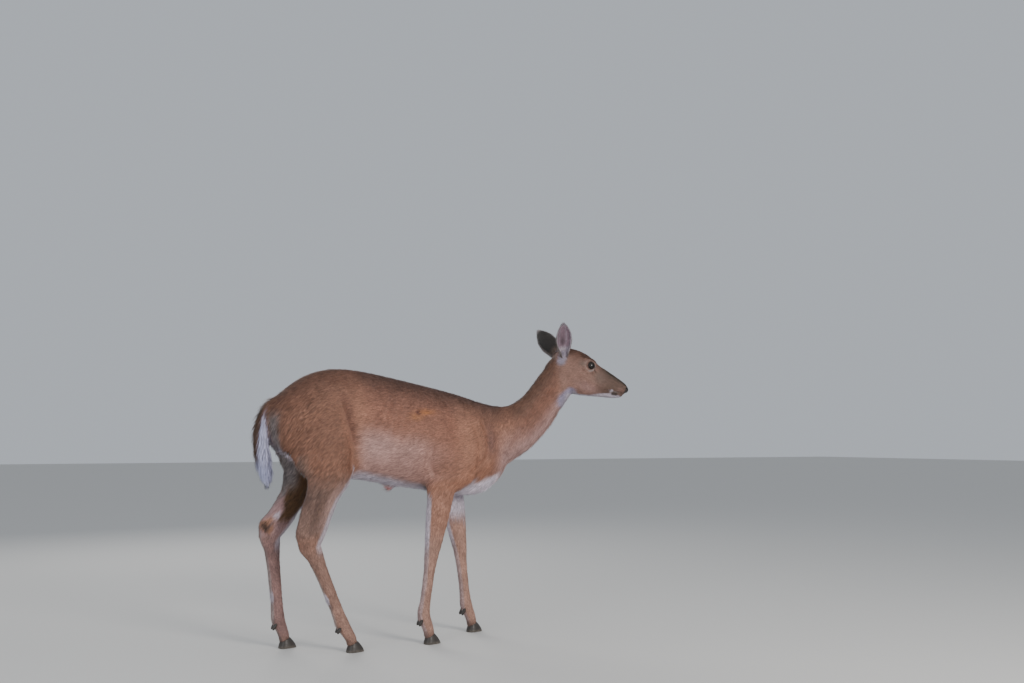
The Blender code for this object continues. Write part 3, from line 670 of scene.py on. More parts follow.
# Bare skin: the nose pad, the lips, the rims of the lids, the depth of the ears, the soles.
nose_pad = ramp(mirrored[:, 0], 0.2655, 0.2715) * ramp(mirrored[:, 1], -0.0005, 0.0045)
nose_pad = np.maximum(nose_pad, groove(mirrored, nostril_line, 0.0048) > 0.5)
nose_pad = nose_pad * part["head"]
mouth_line = on_skin(FACE_FORMS[0][0], mirrored)
lips = groove(mirrored, mouth_line, 0.0022) * part["head"]
lid_band = np.zeros(len(points))
for side, middle, which in EYES:
    out = eye_axes(side)[0]
    offset = points - middle
    flat = offset - out * (offset @ out)[:, None]
    close = np.linalg.norm(offset, axis=1) < 0.021
    lid_band += close * (np.linalg.norm(flat, axis=1) < 0.0138) * (offset @ out > 0)
cover = 1.0 - np.clip(nose_pad + 0.9 * (lips > 0.55), 0.0, 1.0)
cover *= 1.0 - 0.55 * ears * ear_inner * (1.0 - ear_rim)
inside_eye = near_eye < EYE_RADIUS + 0.0004
cover *= 1.0 - inside_eye
cover *= 1.0 - (height_at < 0.050) * ramp(facing_down, 0.55, 0.75)
OVERLAP = 2.1
dense = cover * (OVERLAP + 2.5 * part["tail"]) / (hair[:, 0] * hair[:, 1] * 0.5)

# Colours of the summer coat.
TAWNY = np.array((0.345, 0.158, 0.100))
RIBS = np.array((0.285, 0.125, 0.083))
BARREL_HIGHLIGHT = np.array((0.500, 0.310, 0.280))
BACK = np.array((0.104, 0.055, 0.042))
RUMP = np.array((0.215, 0.100, 0.064))
NECK_TOP = np.array((0.145, 0.072, 0.048))
NECK_SIDE = np.array((0.235, 0.105, 0.070))
NECK_FRONT = np.array((0.480, 0.290, 0.265))
WHITE = np.array((0.600, 0.530, 0.610))
CREAM = np.array((0.480, 0.400, 0.385))
GREY = np.array((0.170, 0.130, 0.110))
DARK = np.array((0.045, 0.030, 0.024))
CHEEK = np.array((0.280, 0.154, 0.118))
FOREHEAD = np.array((0.115, 0.055, 0.037))
MUZZLE = np.array((0.125, 0.072, 0.053))
MUZZLE_TOP = np.array((0.080, 0.056, 0.041))
EAR_BACK = np.array((0.040, 0.034, 0.030))
EAR_BACK_RED = np.array((0.120, 0.084, 0.066))
EAR_INSIDE = np.array((0.260, 0.172, 0.215))
SHANK = np.array((0.345, 0.196, 0.150))
NEAR_LEG_SHADOW = np.array((0.104, 0.051, 0.021))
NOSE_RED = np.array((0.185, 0.105, 0.084))
TAIL_BROWN = np.array((0.105, 0.056, 0.036))
tint = np.broadcast_to(TAWNY, points.shape).copy()


def paint(colour, mask):
    global tint
    share = np.clip(mask, 0.0, 1.0)[:, None]
    tint = tint * (1.0 - share) + np.asarray(colour) * share


def spot(middle, size):
    """1 at a place on the body and falling away round it."""
    return np.exp(-(((points - np.array(middle)) / np.array(size)) ** 2).sum(axis=1))


def spots(middle, size):
    """The same on both sides of the body."""
    return sum(spot((middle[0], side * middle[1], middle[2]), size) for side in (-1, 1))


body = part["trunk"] + legs
hind = part["hindleg_left"] + part["hindleg_right"]
fore = part["foreleg_left"] + part["foreleg_right"]
paint(RIBS, part["trunk"] * ramp(ahead_at, -0.40, -0.30) * ramp(ahead_at, 0.05, -0.05))
barrel_side = ramp(rise, 0.56, 0.34)
# Painted highlight: a pale pink sheen over the lower side of the barrel.
paint(BARREL_HIGHLIGHT, part["trunk"] * barrel_side * ramp(ahead_at, -0.41, -0.34) * ramp(ahead_at, 0.02, -0.22) * 0.62)
# Painted shade in the crease at the front of the shoulder, at the base of the neck.
paint((0.150, 0.078, 0.072), spots((0.134, 0.085, 0.732), (0.021, 0.050, 0.062)) * 0.70)
paint((0.205, 0.090, 0.055), spots((-0.050, 0.100, 0.618), (0.040, 0.050, 0.030)) * 0.60)
paint(TAWNY, spots((-0.418, 0.105, 0.668), (0.032, 0.070, 0.050)) * 0.8)
# Painted highlight, stronger, on the lower rear of the barrel.
paint(BARREL_HIGHLIGHT * 1.1, spots((-0.315, 0.115, 0.690), (0.055, 0.060, 0.045)) * 0.55)
paint(RUMP, body * ramp(ahead_at, -0.36, -0.50) * ramp(height_at, 0.44, 0.60))
paint(RUMP * 1.20, hind * ramp(height_at, 0.74, 0.64) * ramp(height_at, 0.46, 0.56) * 0.6)
paint((0.190, 0.119, 0.097), hind * ramp(height_at, 0.64, 0.54) * ramp(height_at, 0.36, 0.42) * 0.85)
paint((0.400, 0.250, 0.215), hind * ramp(behind_front, 0.060, 0.034) * ramp(height_at, 0.62, 0.56) *
      ramp(height_at, 0.40, 0.45) * 0.8)
# Painted shade on the middle of each gaskin.
paint((0.098, 0.054, 0.040), sum(spot((at, side * 0.09, up), (0.021, 0.060, 0.047)) for at, side, up in
      ((-0.523, -1, 0.492), (-0.590, 1, 0.500))) * 0.7)
paint((0.215, 0.150, 0.125), hind * ramp(ahead_of_rear, 0.060, 0.020) * ramp(height_at, 0.58, 0.64) * 0.7)
# Painted shade along the crease in front of the thigh.
paint((0.165, 0.068, 0.046),
      body * np.exp(-(((ahead_at + 0.413 + 0.19 * (height_at - 0.80)) / 0.018) ** 2)) *
      ramp(height_at, 0.68, 0.74) * ramp(height_at, 0.92, 0.86) * 0.7)
paint(BACK, part["trunk"] * ramp(rise, 0.66, 1.00) * (0.55 + 0.40 * ramp(ahead_at, -0.46, -0.30)))
paint(NECK_SIDE, part["neck"])
paint(NECK_FRONT, (part["neck"] + part["trunk"] * ramp(ahead_at, 0.13, 0.21)) *
      ramp(broad[:, 0] - 0.6 * broad[:, 2], -0.15, 0.60))
paint(NECK_TOP, part["neck"] * ramp(broad[:, 0] - broad[:, 2], -0.05, -0.85))
paint((0.170, 0.075, 0.055), spots((0.160, 0.090, 0.725), (0.024, 0.050, 0.034)) * 0.45)
jaw_angle = (np.array((0.064, -0.080, 0.0)), np.array((0.045, -0.110, 0.0)))
under_jaw = groove(mirrored * np.array((1.0, 1.0, 0.45)), jaw_angle, 0.0275)
paint((0.390, 0.195, 0.135), fore * ramp(height_at, 0.58, 0.50))
paint(SHANK, legs * ramp(height_at, 0.44, 0.30))
paint(SHANK * 1.15, fore * ramp(height_at, 0.42, 0.34))
paint(SHANK * 0.88, hind * ramp(height_at, 0.38, 0.32) * ramp(height_at, 0.14, 0.20))
paint((0.284, 0.162, 0.146), hind * ramp(facing_in, 0.0, 0.4) * ramp(height_at, 0.42, 0.36))
# Belly, the breast between the forelegs and the inner sides of the legs are white.
white_from = 0.62 + 0.20 * ramp(ahead_at, -0.36, -0.05)
paint(WHITE, part["trunk"] * np.clip((facing_down - white_from) / 0.16, 0.0, 1.0) *
      ramp(ahead_at, 0.06, -0.02))
armpit = ramp(facing_down, 0.50, 0.70) * ramp(facing_down, 0.97, 0.90) * ramp(height_at, 0.600, 0.582)
paint(WHITE, part["trunk"] * armpit * ramp(ahead_at, -0.04, 0.00) * ramp(ahead_at, 0.20, 0.13))
paint(WHITE * 1.36, part["trunk"] * ramp(facing_down, 0.15, 0.40) * ramp(ahead_at, 0.00, 0.03) *
      ramp(ahead_at, 0.21, 0.16) * ramp(height_at, 0.580 + 0.4 * (ahead_at - 0.09),
                                            0.560 + 0.4 * (ahead_at - 0.09)))
paint(WHITE, fore * ramp(facing_in, 0.05, 0.45) * ramp(height_at, 0.41, 0.47))
paint(SHANK * 1.28, fore * ramp(facing_in, 0.15, 0.55) * ramp(height_at, 0.44, 0.40))
paint(WHITE, fore * ramp(ahead_of_rear, 0.013, 0.007) * ramp(height_at, 0.600, 0.560) *
      (0.30 + 0.60 * ramp(height_at, 0.31, 0.37)))
paint((0.400, 0.245, 0.240), hind * ramp(facing_in, 0.0, 0.4) * ramp(height_at, 0.58, 0.54) *
      ramp(height_at, 0.36, 0.42))
# Painted shadow on the inner sides of the hind legs and the rear of the belly, where the near leg and the
# body shade them.
paint(NEAR_LEG_SHADOW, (hind + part["trunk"]) * ramp(facing_in, 0.0, 0.4) * ramp(ahead_at, 0.0, -0.1) *
      np.maximum(ramp(height_at, 0.60, 0.64), ramp(ahead_of_rear - 0.035 * ramp(height_at, 0.54, 0.47),
                                                      0.010, 0.026)) *
      ramp(height_at, 0.42, 0.46) * ramp(height_at, 0.72, 0.62))
# Pale hair at the back of the inner thigh, greyed with painted shade.
paint((0.330, 0.300, 0.300), hind * ramp(facing_in, -0.1, 0.3) * ramp(ahead_of_rear, 0.055, 0.020) *
      ramp(height_at, 0.57, 0.62))
paint(WHITE, hind * ramp(behind_front, 0.026, 0.014) * ramp(height_at, 0.33, 0.38) *
      ramp(height_at, 0.650, 0.620) * 0.8)
paint(CREAM, hind * ramp(ahead_of_rear, 0.010, 0.004) * ramp(height_at, 0.34, 0.26) * 0.5)
# The gland inside the hock is dark, with a rusty edge and a pale patch above and before it.
paint((0.350, 0.165, 0.095), ramp(stain, 0.20, 0.75) * 0.85)
paint(WHITE * 1.1, ramp(pale_patch, 0.25, 0.60))
# Painted shade in a line just below the hock.
paint(SHANK * 0.50, sum(part[name] * np.exp(-(((ahead_at - HOCKS[name][0]) / 0.014) ** 2) -
      ((height_at - HOCKS[name][1] + 0.036) / 0.010) ** 2) for name in HOCKS) * 0.7)
paint((0.330, 0.150, 0.080), ramp(hock, 0.12, 0.40) * 0.85)
paint(DARK * 0.6, ramp(hock, 0.42, 0.70) * 0.97)
paint(WHITE, ramp(shank_tuft, 0.25, 0.6))
paint(DARK, hind * ramp(-facing_in, 0.1, 0.5) * bump(height_at, 0.163, 0.009) *
      ramp(facing_ahead, -0.2, -0.6) * 0.7)
paint(SHANK * 0.62, legs * ramp(height_at, 0.062, 0.036) * 0.8)
# Tail: brown above, white below and along the fringe, and a pale patch round its root, greyed with painted
# shade.
paint(CREAM * 0.50, (hind + part["trunk"]) * ramp(facing_ahead, -0.55, -0.80) *
      ramp(np.abs(points[:, 1]), 0.085, 0.055) * ramp(height_at, 0.86, 0.80))
# Pale hair on the inner sides behind the thighs, greyed with painted shade.
paint(CREAM * 0.50, (hind + part["trunk"]) * ramp(facing_in, 0.0, 0.4) * ramp(ahead_at, -0.54, -0.58) *
      ramp(height_at, 0.54, 0.60))
paint(TAIL_BROWN, part["tail"])
tail_edge = -0.94 + 0.30 * ramp(height_at, 0.66, 0.84)
paint((0.480, 0.475, 0.650), part["tail"] * ramp(facing_ahead, tail_edge, tail_edge + 0.10) *
      ramp(height_at, 0.86, 0.81))
paint((0.410, 0.420, 0.610), part["tail"] * ramp(height_at, 0.700, 0.650))
# Painted light: the underside of the tail's tip is painted brighter, to make up for the shade it hangs in.
paint((0.720, 0.730, 0.900), part["tail"] * ramp(facing_down, 0.20, 0.70) * ramp(height_at, 0.660, 0.620))
# An old sore on the right side, with its scab and rusty stain, and the bare end of the sheath.
sore = (-0.162, -0.115, 0.823)
paint((0.420, 0.150, 0.040), spot((-0.135, -0.110, 0.823), (0.034, 0.060, 0.008)) * 0.85)
paint((0.380, 0.150, 0.045), spot((-0.172, -0.110, 0.806), (0.024, 0.060, 0.010)) * 0.7)
paint((0.070, 0.020, 0.018), ramp(spot(sore, (0.0100, 0.060, 0.0095)), 0.30, 0.55))
paint((0.250, 0.110, 0.120), ramp(spot(sore, (0.0052, 0.060, 0.0048)), 0.30, 0.60) * 0.8)
sheath = spot((-0.2340, 0.0, 0.546), (0.013, 0.030, 0.014))
paint((0.560, 0.200, 0.190), ramp(sheath, 0.20, 0.55) * part["trunk"])


def face_spot(middle, size):
    """1 at a place on both sides of the head, in its own frame, and falling away round it."""
    away = (mirrored[:, :len(middle)] - np.array(middle)) / size
    return part["head"] * np.exp(-(away ** 2).sum(axis=1))


def face_line(path, width):
    """1 on a line along both sides of the head and falling away to either side of it."""
    return groove(mirrored, on_skin(path, mirrored), width)


# Head: dark forehead and muzzle, white jaw, a pale ring at the eye, dark ears lined with white.
paint(CHEEK, part["head"])
paint(FOREHEAD, part["head"] * ramp(broad @ upward, -0.10, 0.85) * ramp(place[:, 0], 0.16, 0.10))
paint(MUZZLE, part["head"] * ramp(place[:, 0], 0.12, 0.20))
paint(MUZZLE_TOP, part["head"] * ramp(normals @ upward, 0.20, 0.75) * ramp(place[:, 0], 0.12, 0.20))
paint(GREY * 0.9, face_spot((0.150, 0.020, 0.036), 0.030) * 0.5)
paint((0.350, 0.210, 0.195), face_spot((0.120, -0.035), (0.050, 0.022)) * 0.6)
paint((0.330, 0.290, 0.400), (part["neck"] + part["head"]) * ramp(under_jaw, 0.15, 0.55) *
      ramp(broad[:, 0] - broad[:, 2], -0.45, 0.10))
jaw_low = np.interp(place[:, 0], (0.060, 0.100, 0.135, 0.171, 0.206, 0.222, 0.270),
                    (-0.078, -0.068, -0.058, -0.039, -0.024, -0.018, -0.013))
paint(WHITE * 0.85, part["head"] * ramp(mirrored[:, 1] - jaw_low, 0.003, -0.005) *
      ramp(place[:, 0], 0.03, 0.07))
paint(WHITE * 0.85, part["head"] * ramp(normals @ upward, -0.80, -0.93) * ramp(place[:, 0], 0.02, 0.06))
paint(NOSE_RED, part["head"] * ramp(place[:, 0], 0.225, 0.250) * ramp(mirrored[:, 1], 0.018, 0.008) *
      ramp(mirrored[:, 1], -0.013, -0.006))
paint(DARK, ramp(face_line(((0.240, -0.018, 0.022), (0.229, -0.0215, 0.022)), 0.0075), 0.25, 0.60) * 0.9)
paint(WHITE, ramp(face_line(((0.216, -0.013, 0.024), (0.220, -0.008, 0.024)), 0.0048), 0.30, 0.60) * 0.8)
ring = bump(near_eye, 0.0215, 0.0035) * part["head"]
before_eye = ramp(mirrored[:, 0] - EYE_FORWARD, -0.006, 0.012) * ramp(mirrored[:, 1] - EYE_RISE, 0.016, 0.000)
paint(CREAM * 0.75, ring * (0.16 + 0.74 * before_eye))
paint(GREY * 0.85, face_spot((0.066, 0.046), 0.013) * 0.6)
paint(DARK, ramp(face_line(FACE_FORMS[7][0], 0.0034), 0.3, 0.7) * 0.8)
ear_foot = groove(mirrored, (np.array((-0.018, 0.066, 0.044)), np.array((-0.018, 0.026, 0.050))), 0.018)
paint((0.340, 0.320, 0.420), (part["head"] + part["neck"]) * ramp(ear_foot, 0.08, 0.75) * 0.75)
paint(EAR_BACK, ears * ears_hard)
paint(EAR_BACK_RED, ears * (1.0 - ear_inner) * ramp(ear_share, 0.34, 0.16))
paint(EAR_INSIDE, ear_inner)
# Painted shade down the hollow of the ear's cup.
ear_hollow_shade = np.exp(-(((ear_share - 0.42) / 0.17) ** 2) - ((ear_side - 0.05) / 0.36) ** 2)
paint(EAR_INSIDE * 0.32, ear_inner * ear_hollow_shade * 0.9)
paint(WHITE * 0.60, ear_inner * np.exp(-(((ear_side + 0.42) / 0.10) ** 2)) * ramp(ear_share, 0.25, 0.4) * 0.5)
paint(WHITE * 0.60, ear_inner * bump(ear_side, 0.50, 0.09) * ramp(ear_share, 0.25, 0.4) * 0.4)
paint(WHITE * 0.62, ear_inner * ear_rim * 0.85)
paint(CREAM * 0.60, ears * (1.0 - ear_inner) * ear_rim * 0.9)
paint(WHITE * 0.80, ear_inner * ramp(ear_share, 0.32, 0.18) * 0.8)
paint((0.022, 0.017, 0.015), nose_pad)
paint((0.060, 0.040, 0.034), lips ** 2 * 0.9)
LID_SKIN = np.array((0.020, 0.015, 0.013))
rim_tone = ramp(near_eye, EYE_RADIUS + 0.0042, EYE_RADIUS + 0.0030) * part["head"]
paint(LID_SKIN, rim_tone * lid_band)


def keep_value(mesh, name, values, kind, domain="POINT"):
    """Stores a value for each point, or each face, as an attribute of the mesh."""
    layer = mesh.attributes.new(name, kind, domain)
    word = {"FLOAT": "value", "INT": "value", "FLOAT_VECTOR": "vector", "FLOAT_COLOR": "color"}[kind]
    values = np.ascontiguousarray(values, np.int32 if kind == "INT" else np.float32)
    layer.data.foreach_set(word, values.ravel())


keep_value(skin.data, "lie", lie, "FLOAT_VECTOR")
keep_value(skin.data, "hair", hair * np.array([1.0, 1.0, math.pi / 180]), "FLOAT_VECTOR")
keep_value(skin.data, "dense", dense, "FLOAT")
keep_value(skin.data, "ticked", np.clip(0.25 * body + 0.35 * haunch + 0.2 * part["neck"], 0.0, 1.0), "FLOAT")
keep_value(skin.data, "tint", np.concatenate([tint, np.ones((len(tint), 1))], 1), "FLOAT_COLOR")
bare = np.clip(nose_pad + lips ** 2 + rim_tone * lid_band, 0.0, 1.0)
keep_value(skin.data, "bare", bare, "FLOAT")

# The skin's own unwrap: each part is opened like a tube along its middle and laid in its
# place on one sheet, so that every hair can say where on the hide it is rooted.
SHEET = {"trunk": (0.00, 0.00, 0.62, 0.42), "neck": (0.64, 0.00, 1.00, 0.42),
         "head": (0.00, 0.44, 0.60, 0.72), "tail": (0.89, 0.74, 1.00, 1.00),
         "ear_left": (0.62, 0.44, 0.80, 0.72), "ear_right": (0.82, 0.44, 1.00, 0.72),
         "foreleg_left": (0.00, 0.74, 0.20, 1.00), "foreleg_right": (0.22, 0.74, 0.42, 1.00),
         "hindleg_left": (0.44, 0.74, 0.64, 1.00), "hindleg_right": (0.66, 0.74, 0.86, 1.00)}
Y_WAY = np.array([0.0, 1.0, 0.0])
neck_way = unit(np.array([0.62, 0.0, 0.78]))
TUBES = {"trunk": (X_WAY, Z_WAY, Y_WAY), "neck": (neck_way, np.cross(neck_way, Y_WAY), Y_WAY),
         "head": (forward, upward, sideways), "tail": (-Z_WAY, -X_WAY, Y_WAY)}
for name in LEGS:
    outward = Y_WAY if name.endswith("left") else -Y_WAY
    TUBES[name] = (-Z_WAY, outward, X_WAY)
along_part = np.zeros(len(points))
turn_part = np.zeros(len(points))
for number, name in enumerate(PARTS):
    chosen = label == number
    own = points[chosen]
    if name in EAR_NODES:
        root, along, facing, across, length = ear_axes(name)
        along_part[chosen] = np.clip((own - root) @ along / length + 0.2, 0.0, 1.2) / 1.2
        turn_part[chosen] = np.clip((own - root) @ across / 0.08, -0.5, 0.5) * math.pi
        turn_part[chosen] += np.where(ear_inner[chosen] > 0.5, 0.5, -0.5) * math.pi
        continue
    way, above, beside = TUBES[name]
    position = own @ way
    marks, rows = slices(own, way, position.min(), position.max(), 40, "middle")
    offset = own - lookup(marks, rows, position)
    along_part[chosen] = (position - position.min()) / (position.max() - position.min())
    turn_part[chosen] = np.arctan2(offset @ beside, offset @ above)
faces = skin.data.polygons
corner_point = numbers_of(skin.data.loops, "vertex_index", kind=np.int32)
face_start = numbers_of(faces, "loop_start", kind=np.int32)
face_size = numbers_of(faces, "loop_total", kind=np.int32)
corner_face = np.repeat(np.arange(len(face_start)), face_size)
face_label = label[corner_point[face_start]]
turn = turn_part[corner_point]
face_turn = np.arctan2(np.bincount(corner_face, np.sin(turn)), np.bincount(corner_face, np.cos(turn)))
difference = turn - face_turn[corner_face]
turn = face_turn[corner_face] + np.arctan2(np.sin(difference), np.cos(difference))
boxes = np.array([SHEET[name] for name in PARTS])[face_label[corner_face]]
sheet_u = boxes[:, 0] + (boxes[:, 2] - boxes[:, 0]) * (0.02 + 0.96 * along_part[corner_point])
sheet_v = boxes[:, 1] + (boxes[:, 3] - boxes[:, 1]) * np.clip(0.5 + 0.94 * turn / (2 * math.pi), 0.0, 1.0)
skin.data.uv_layers.new(name="unwrap")
on_sheet = np.stack([sheet_u, sheet_v], 1).astype(np.float32)
skin.data.uv_layers["unwrap"].data.foreach_set("uv", on_sheet.ravel())


def feed(tree, node, inputs):
    """Gives a node its inputs: another node's output is linked, and anything else is set."""
    for socket, value in inputs.items():
        if isinstance(value, bpy.types.NodeSocket):
            tree.links.new(value, node.inputs[socket])
        else:
            node.inputs[socket].default_value = value


def add_node(tree, kind, output, inputs, **settings):
    """One output of a new node with these inputs and settings."""
    node = tree.nodes.new(kind)
    for setting, value in settings.items():
        setattr(node, setting, value)
    feed(tree, node, inputs)
    return node.outputs[output]


def new_material(name):
    """A new material, its node tree and its shader."""
    made = bpy.data.materials.new(name)
    made.use_nodes = True
    return made, made.node_tree, made.node_tree.nodes["Principled BSDF"]


def kept_value(tree, name, output="Fac"):
    """What is stored on the mesh under a name."""
    return add_node(tree, "ShaderNodeAttribute", output, {}, attribute_name=name)


def noise(tree, place, scale, detail=2.0):
    return add_node(tree, "ShaderNodeTexNoise", "Fac", {"Vector": place, "Scale": scale, "Detail": detail})


def spread_over(tree, value, low, high, start=0.0, stop=1.0):
    """A value from start to stop, spread over low to high."""
    limits = {"From Min": start, "From Max": stop, "To Min": low, "To Max": high}
    return add_node(tree, "ShaderNodeMapRange", "Result", {"Value": value, **limits})


def product(tree, first, second):
    return add_node(tree, "ShaderNodeMath", "Value", {0: first, 1: second}, operation="MULTIPLY")


def mixed(tree, share, first, second, way="MIX"):
    """A colour between two, or their product."""
    return add_node(tree, "ShaderNodeMix", "Result", {"Factor": share, "A": first, "B": second},
                    data_type="RGBA", blend_type=way)


def hide_material():
    """Bare hide: the colours of the markings, fine creases, moist and dark on the nose."""
    made, tree, shader = new_material("deer_hide")
    bare = kept_value(tree, "bare")
    where = add_node(tree, "ShaderNodeTexCoord", "Object", {})
    mottle = spread_over(tree, noise(tree, where, 90.0, 5.0), 0.62, 1.02)
    pebbles = add_node(tree, "ShaderNodeTexVoronoi", "Distance", {"Vector": where, "Scale": 700.0})
    relief = add_node(tree, "ShaderNodeBump", "Normal",
                      {"Strength": product(tree, bare, 0.7), "Distance": 0.0004, "Height": pebbles})
    hairs = noise(tree, where, 420.0, 3.0)
    nap = add_node(tree, "ShaderNodeBump", "Normal",
                   {"Strength": 0.35, "Distance": 0.0006, "Height": hairs, "Normal": relief})
    feed(tree, shader, {
        "Base Color": mixed(tree, 1.0, kept_value(tree, "tint", "Color"), mottle, "MULTIPLY"),
        "Roughness": spread_over(tree, bare, 0.72, 0.34),
        "Normal": nap})
    return made


for face in skin.data.polygons:
    face.use_smooth = True
skin.data.materials.clear()
skin.data.materials.append(hide_material())
skin.vertex_groups.clear()
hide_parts(*FLESH, *EAR_NODES)
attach(skin, "root")

# ---------------------------------------------------------------------------------------------
# The coat: short summer hair that lies flat, in small overlapping locks rooted all over the
# hide. Each lock is a solid sliver, thick in its middle and pointed at its end. The hair is
# longest on the tail, belly and throat, and shortest on the face, ears and feet.
LOCK_BULGE = 0.38  # how far along its length a lock is thickest
LOCKS_IN_PIECE = 31000
COAT_SEED = 11
LOCK_PATCH = 0.003  # size of a lock's patch on the unwrap


def lock_shape():
    """One lock, one unit long and wide, growing along Z, its back towards Y."""
    shape = bmesh.new()
    root = shape.verts.new((0.0, -0.5, 0.0))
    left = shape.verts.new((-0.5, -0.15, LOCK_BULGE))
    right = shape.verts.new((0.5, -0.15, LOCK_BULGE))
    back = shape.verts.new((0.0, 0.5, LOCK_BULGE * 1.1))
    tip = shape.verts.new((0.0, -0.25, 1.0))
    for a, b, c in ((root, back, left), (root, right, back), (root, left, right),
                    (left, back, tip), (back, right, tip), (right, left, tip)):
        shape.faces.new((a, b, c))
    bmesh.ops.recalc_face_normals(shape, faces=shape.faces)
    made = as_mesh(shape, "lock")
    leaf = np.array([(v.co.x + 0.5, v.co.z, 0.0) for v in made.vertices])
    keep_value(made, "leaf", leaf, "FLOAT_VECTOR")
    return made


def coat_tree(lock, finish):
    """Geometry Nodes: locks planted on one patch of the hide, along the lie of its hair."""
    tree = bpy.data.node_groups.new("plant_locks", "GeometryNodeTree")
    for name, kind in (("Hide", "Geometry"), ("Patch", "Int"), ("Seed", "Int"), ("Disorder", "Float"),
                       ("Flatness", "Float")):
        tree.interface.new_socket(name, in_out="INPUT", socket_type="NodeSocket" + kind)
    tree.interface.new_socket("Coat", in_out="OUTPUT", socket_type="NodeSocketGeometry")
    given = tree.nodes.new("NodeGroupInput").outputs

    def named(attribute, kind):
        return add_node(tree, "GeometryNodeInputNamedAttribute", "Attribute", {"Name": attribute},
                        data_type=kind)

    def stored(geometry, attribute, kind, domain, value):
        inputs = {"Geometry": geometry, "Name": attribute, "Value": value}
        return add_node(tree, "GeometryNodeStoreNamedAttribute", "Geometry", inputs,
                        data_type=kind, domain=domain)

    def vector(operation, first, second=(0.0, 0.0, 0.0)):
        return add_node(tree, "ShaderNodeVectorMath", "Vector", {0: first, 1: second}, operation=operation)

    def scaled(first, scale):
        return add_node(tree, "ShaderNodeVectorMath", "Vector", {0: first, "Scale": scale}, operation="SCALE")

    def number(operation, first, second=0.0):
        return add_node(tree, "ShaderNodeMath", "Value", {0: first, 1: second}, operation=operation)

    def chance(kind, low, high, offset):
        seed = number("ADD", given["Seed"], float(offset))
        return add_node(tree, "FunctionNodeRandomValue", "Value", {"Min": low, "Max": high, "Seed": seed},
                        data_type=kind)

    here = add_node(tree, "FunctionNodeCompare", "Result", {"A": named("patch", "INT"), "B": given["Patch"]},
                    data_type="INT", operation="EQUAL")
    plant = tree.nodes.new("GeometryNodeDistributePointsOnFaces")
    plant.distribute_method = "RANDOM"
    feed(tree, plant, {"Mesh": given["Hide"], "Selection": here, "Density": named("dense", "FLOAT"),
                       "Seed": given["Seed"]})
    roots = stored(plant.outputs["Points"], "outward", "FLOAT_VECTOR", "POINT", plant.outputs["Normal"])
    clump = add_node(tree, "ShaderNodeTexNoise", "Fac", {"Scale": 210.0, "Detail": 0.0})
    shade = number("ADD", number("MULTIPLY", number("SUBTRACT", clump, 0.5), 2.2), 0.5)
    shade = number("ADD", shade, number("MULTIPLY", chance("FLOAT", -0.5, 0.5, 7), 0.7))
    roots = stored(roots, "shade", "FLOAT", "POINT", shade)

    size = tree.nodes.new("ShaderNodeSeparateXYZ")
    feed(tree, size, {"Vector": named("hair", "FLOAT_VECTOR")})
    outward = named("outward", "FLOAT_VECTOR")
    # Neighbouring locks lean together, in shallow waves, and each strays a little by itself.
    wave = add_node(tree, "ShaderNodeTexNoise", "Color", {"Scale": 55.0, "Detail": 1.0})
    stray = chance("FLOAT_VECTOR", (-1.0, -1.0, -1.0), (1.0, 1.0, 1.0), 1)
    swirl = vector("ADD", scaled(vector("SUBTRACT", wave, (0.5, 0.5, 0.5)), 2.6), stray)
    swirl = scaled(swirl, given["Disorder"])
    level = vector("NORMALIZE", vector("ADD", named("lie", "FLOAT_VECTOR"), swirl))
    lift = number("MULTIPLY", size.outputs["Z"], chance("FLOAT", 0.45, 1.45, 2))
    aim = vector("ADD", scaled(level, number("COSINE", lift)), scaled(outward, number("SINE", lift)))
    turned = add_node(tree, "FunctionNodeAxesToRotation", "Rotation",
                      {"Primary Axis": aim, "Secondary Axis": outward}, primary_axis="Z", secondary_axis="Y")
    wide = number("MULTIPLY", size.outputs["Y"], chance("FLOAT", 0.70, 1.30, 3))
    long = number("MULTIPLY", size.outputs["X"], chance("FLOAT", 0.62, 1.28, 4))
    thick = number("MULTIPLY", wide, given["Flatness"])
    extent = add_node(tree, "ShaderNodeCombineXYZ", "Vector", {"X": wide, "Y": thick, "Z": long})
    one_lock = add_node(tree, "GeometryNodeObjectInfo", "Geometry", {"Object": lock})
    coat = add_node(tree, "GeometryNodeInstanceOnPoints", "Instances",
                    {"Points": roots, "Instance": one_lock, "Rotation": turned, "Scale": extent})
    coat = add_node(tree, "GeometryNodeRealizeInstances", "Geometry", {"Geometry": coat})
    in_patch = scaled(vector("SUBTRACT", named("leaf", "FLOAT_VECTOR"), (0.5, 0.5, 0.0)), LOCK_PATCH)
    on_sheet = vector("ADD", named("unwrap", "FLOAT_VECTOR"), in_patch)
    coat = stored(coat, "OFBake", "FLOAT2", "CORNER", on_sheet)
    for spare in ("lie", "hair", "dense", "unwrap", "patch", "bare"):
        coat = add_node(tree, "GeometryNodeRemoveAttribute", "Geometry", {"Geometry": coat, "Name": spare})
    coat = add_node(tree, "GeometryNodeSetMaterial", "Geometry", {"Geometry": coat, "Material": finish})
    feed(tree, tree.nodes.new("NodeGroupOutput"), {"Coat": coat})
    return tree


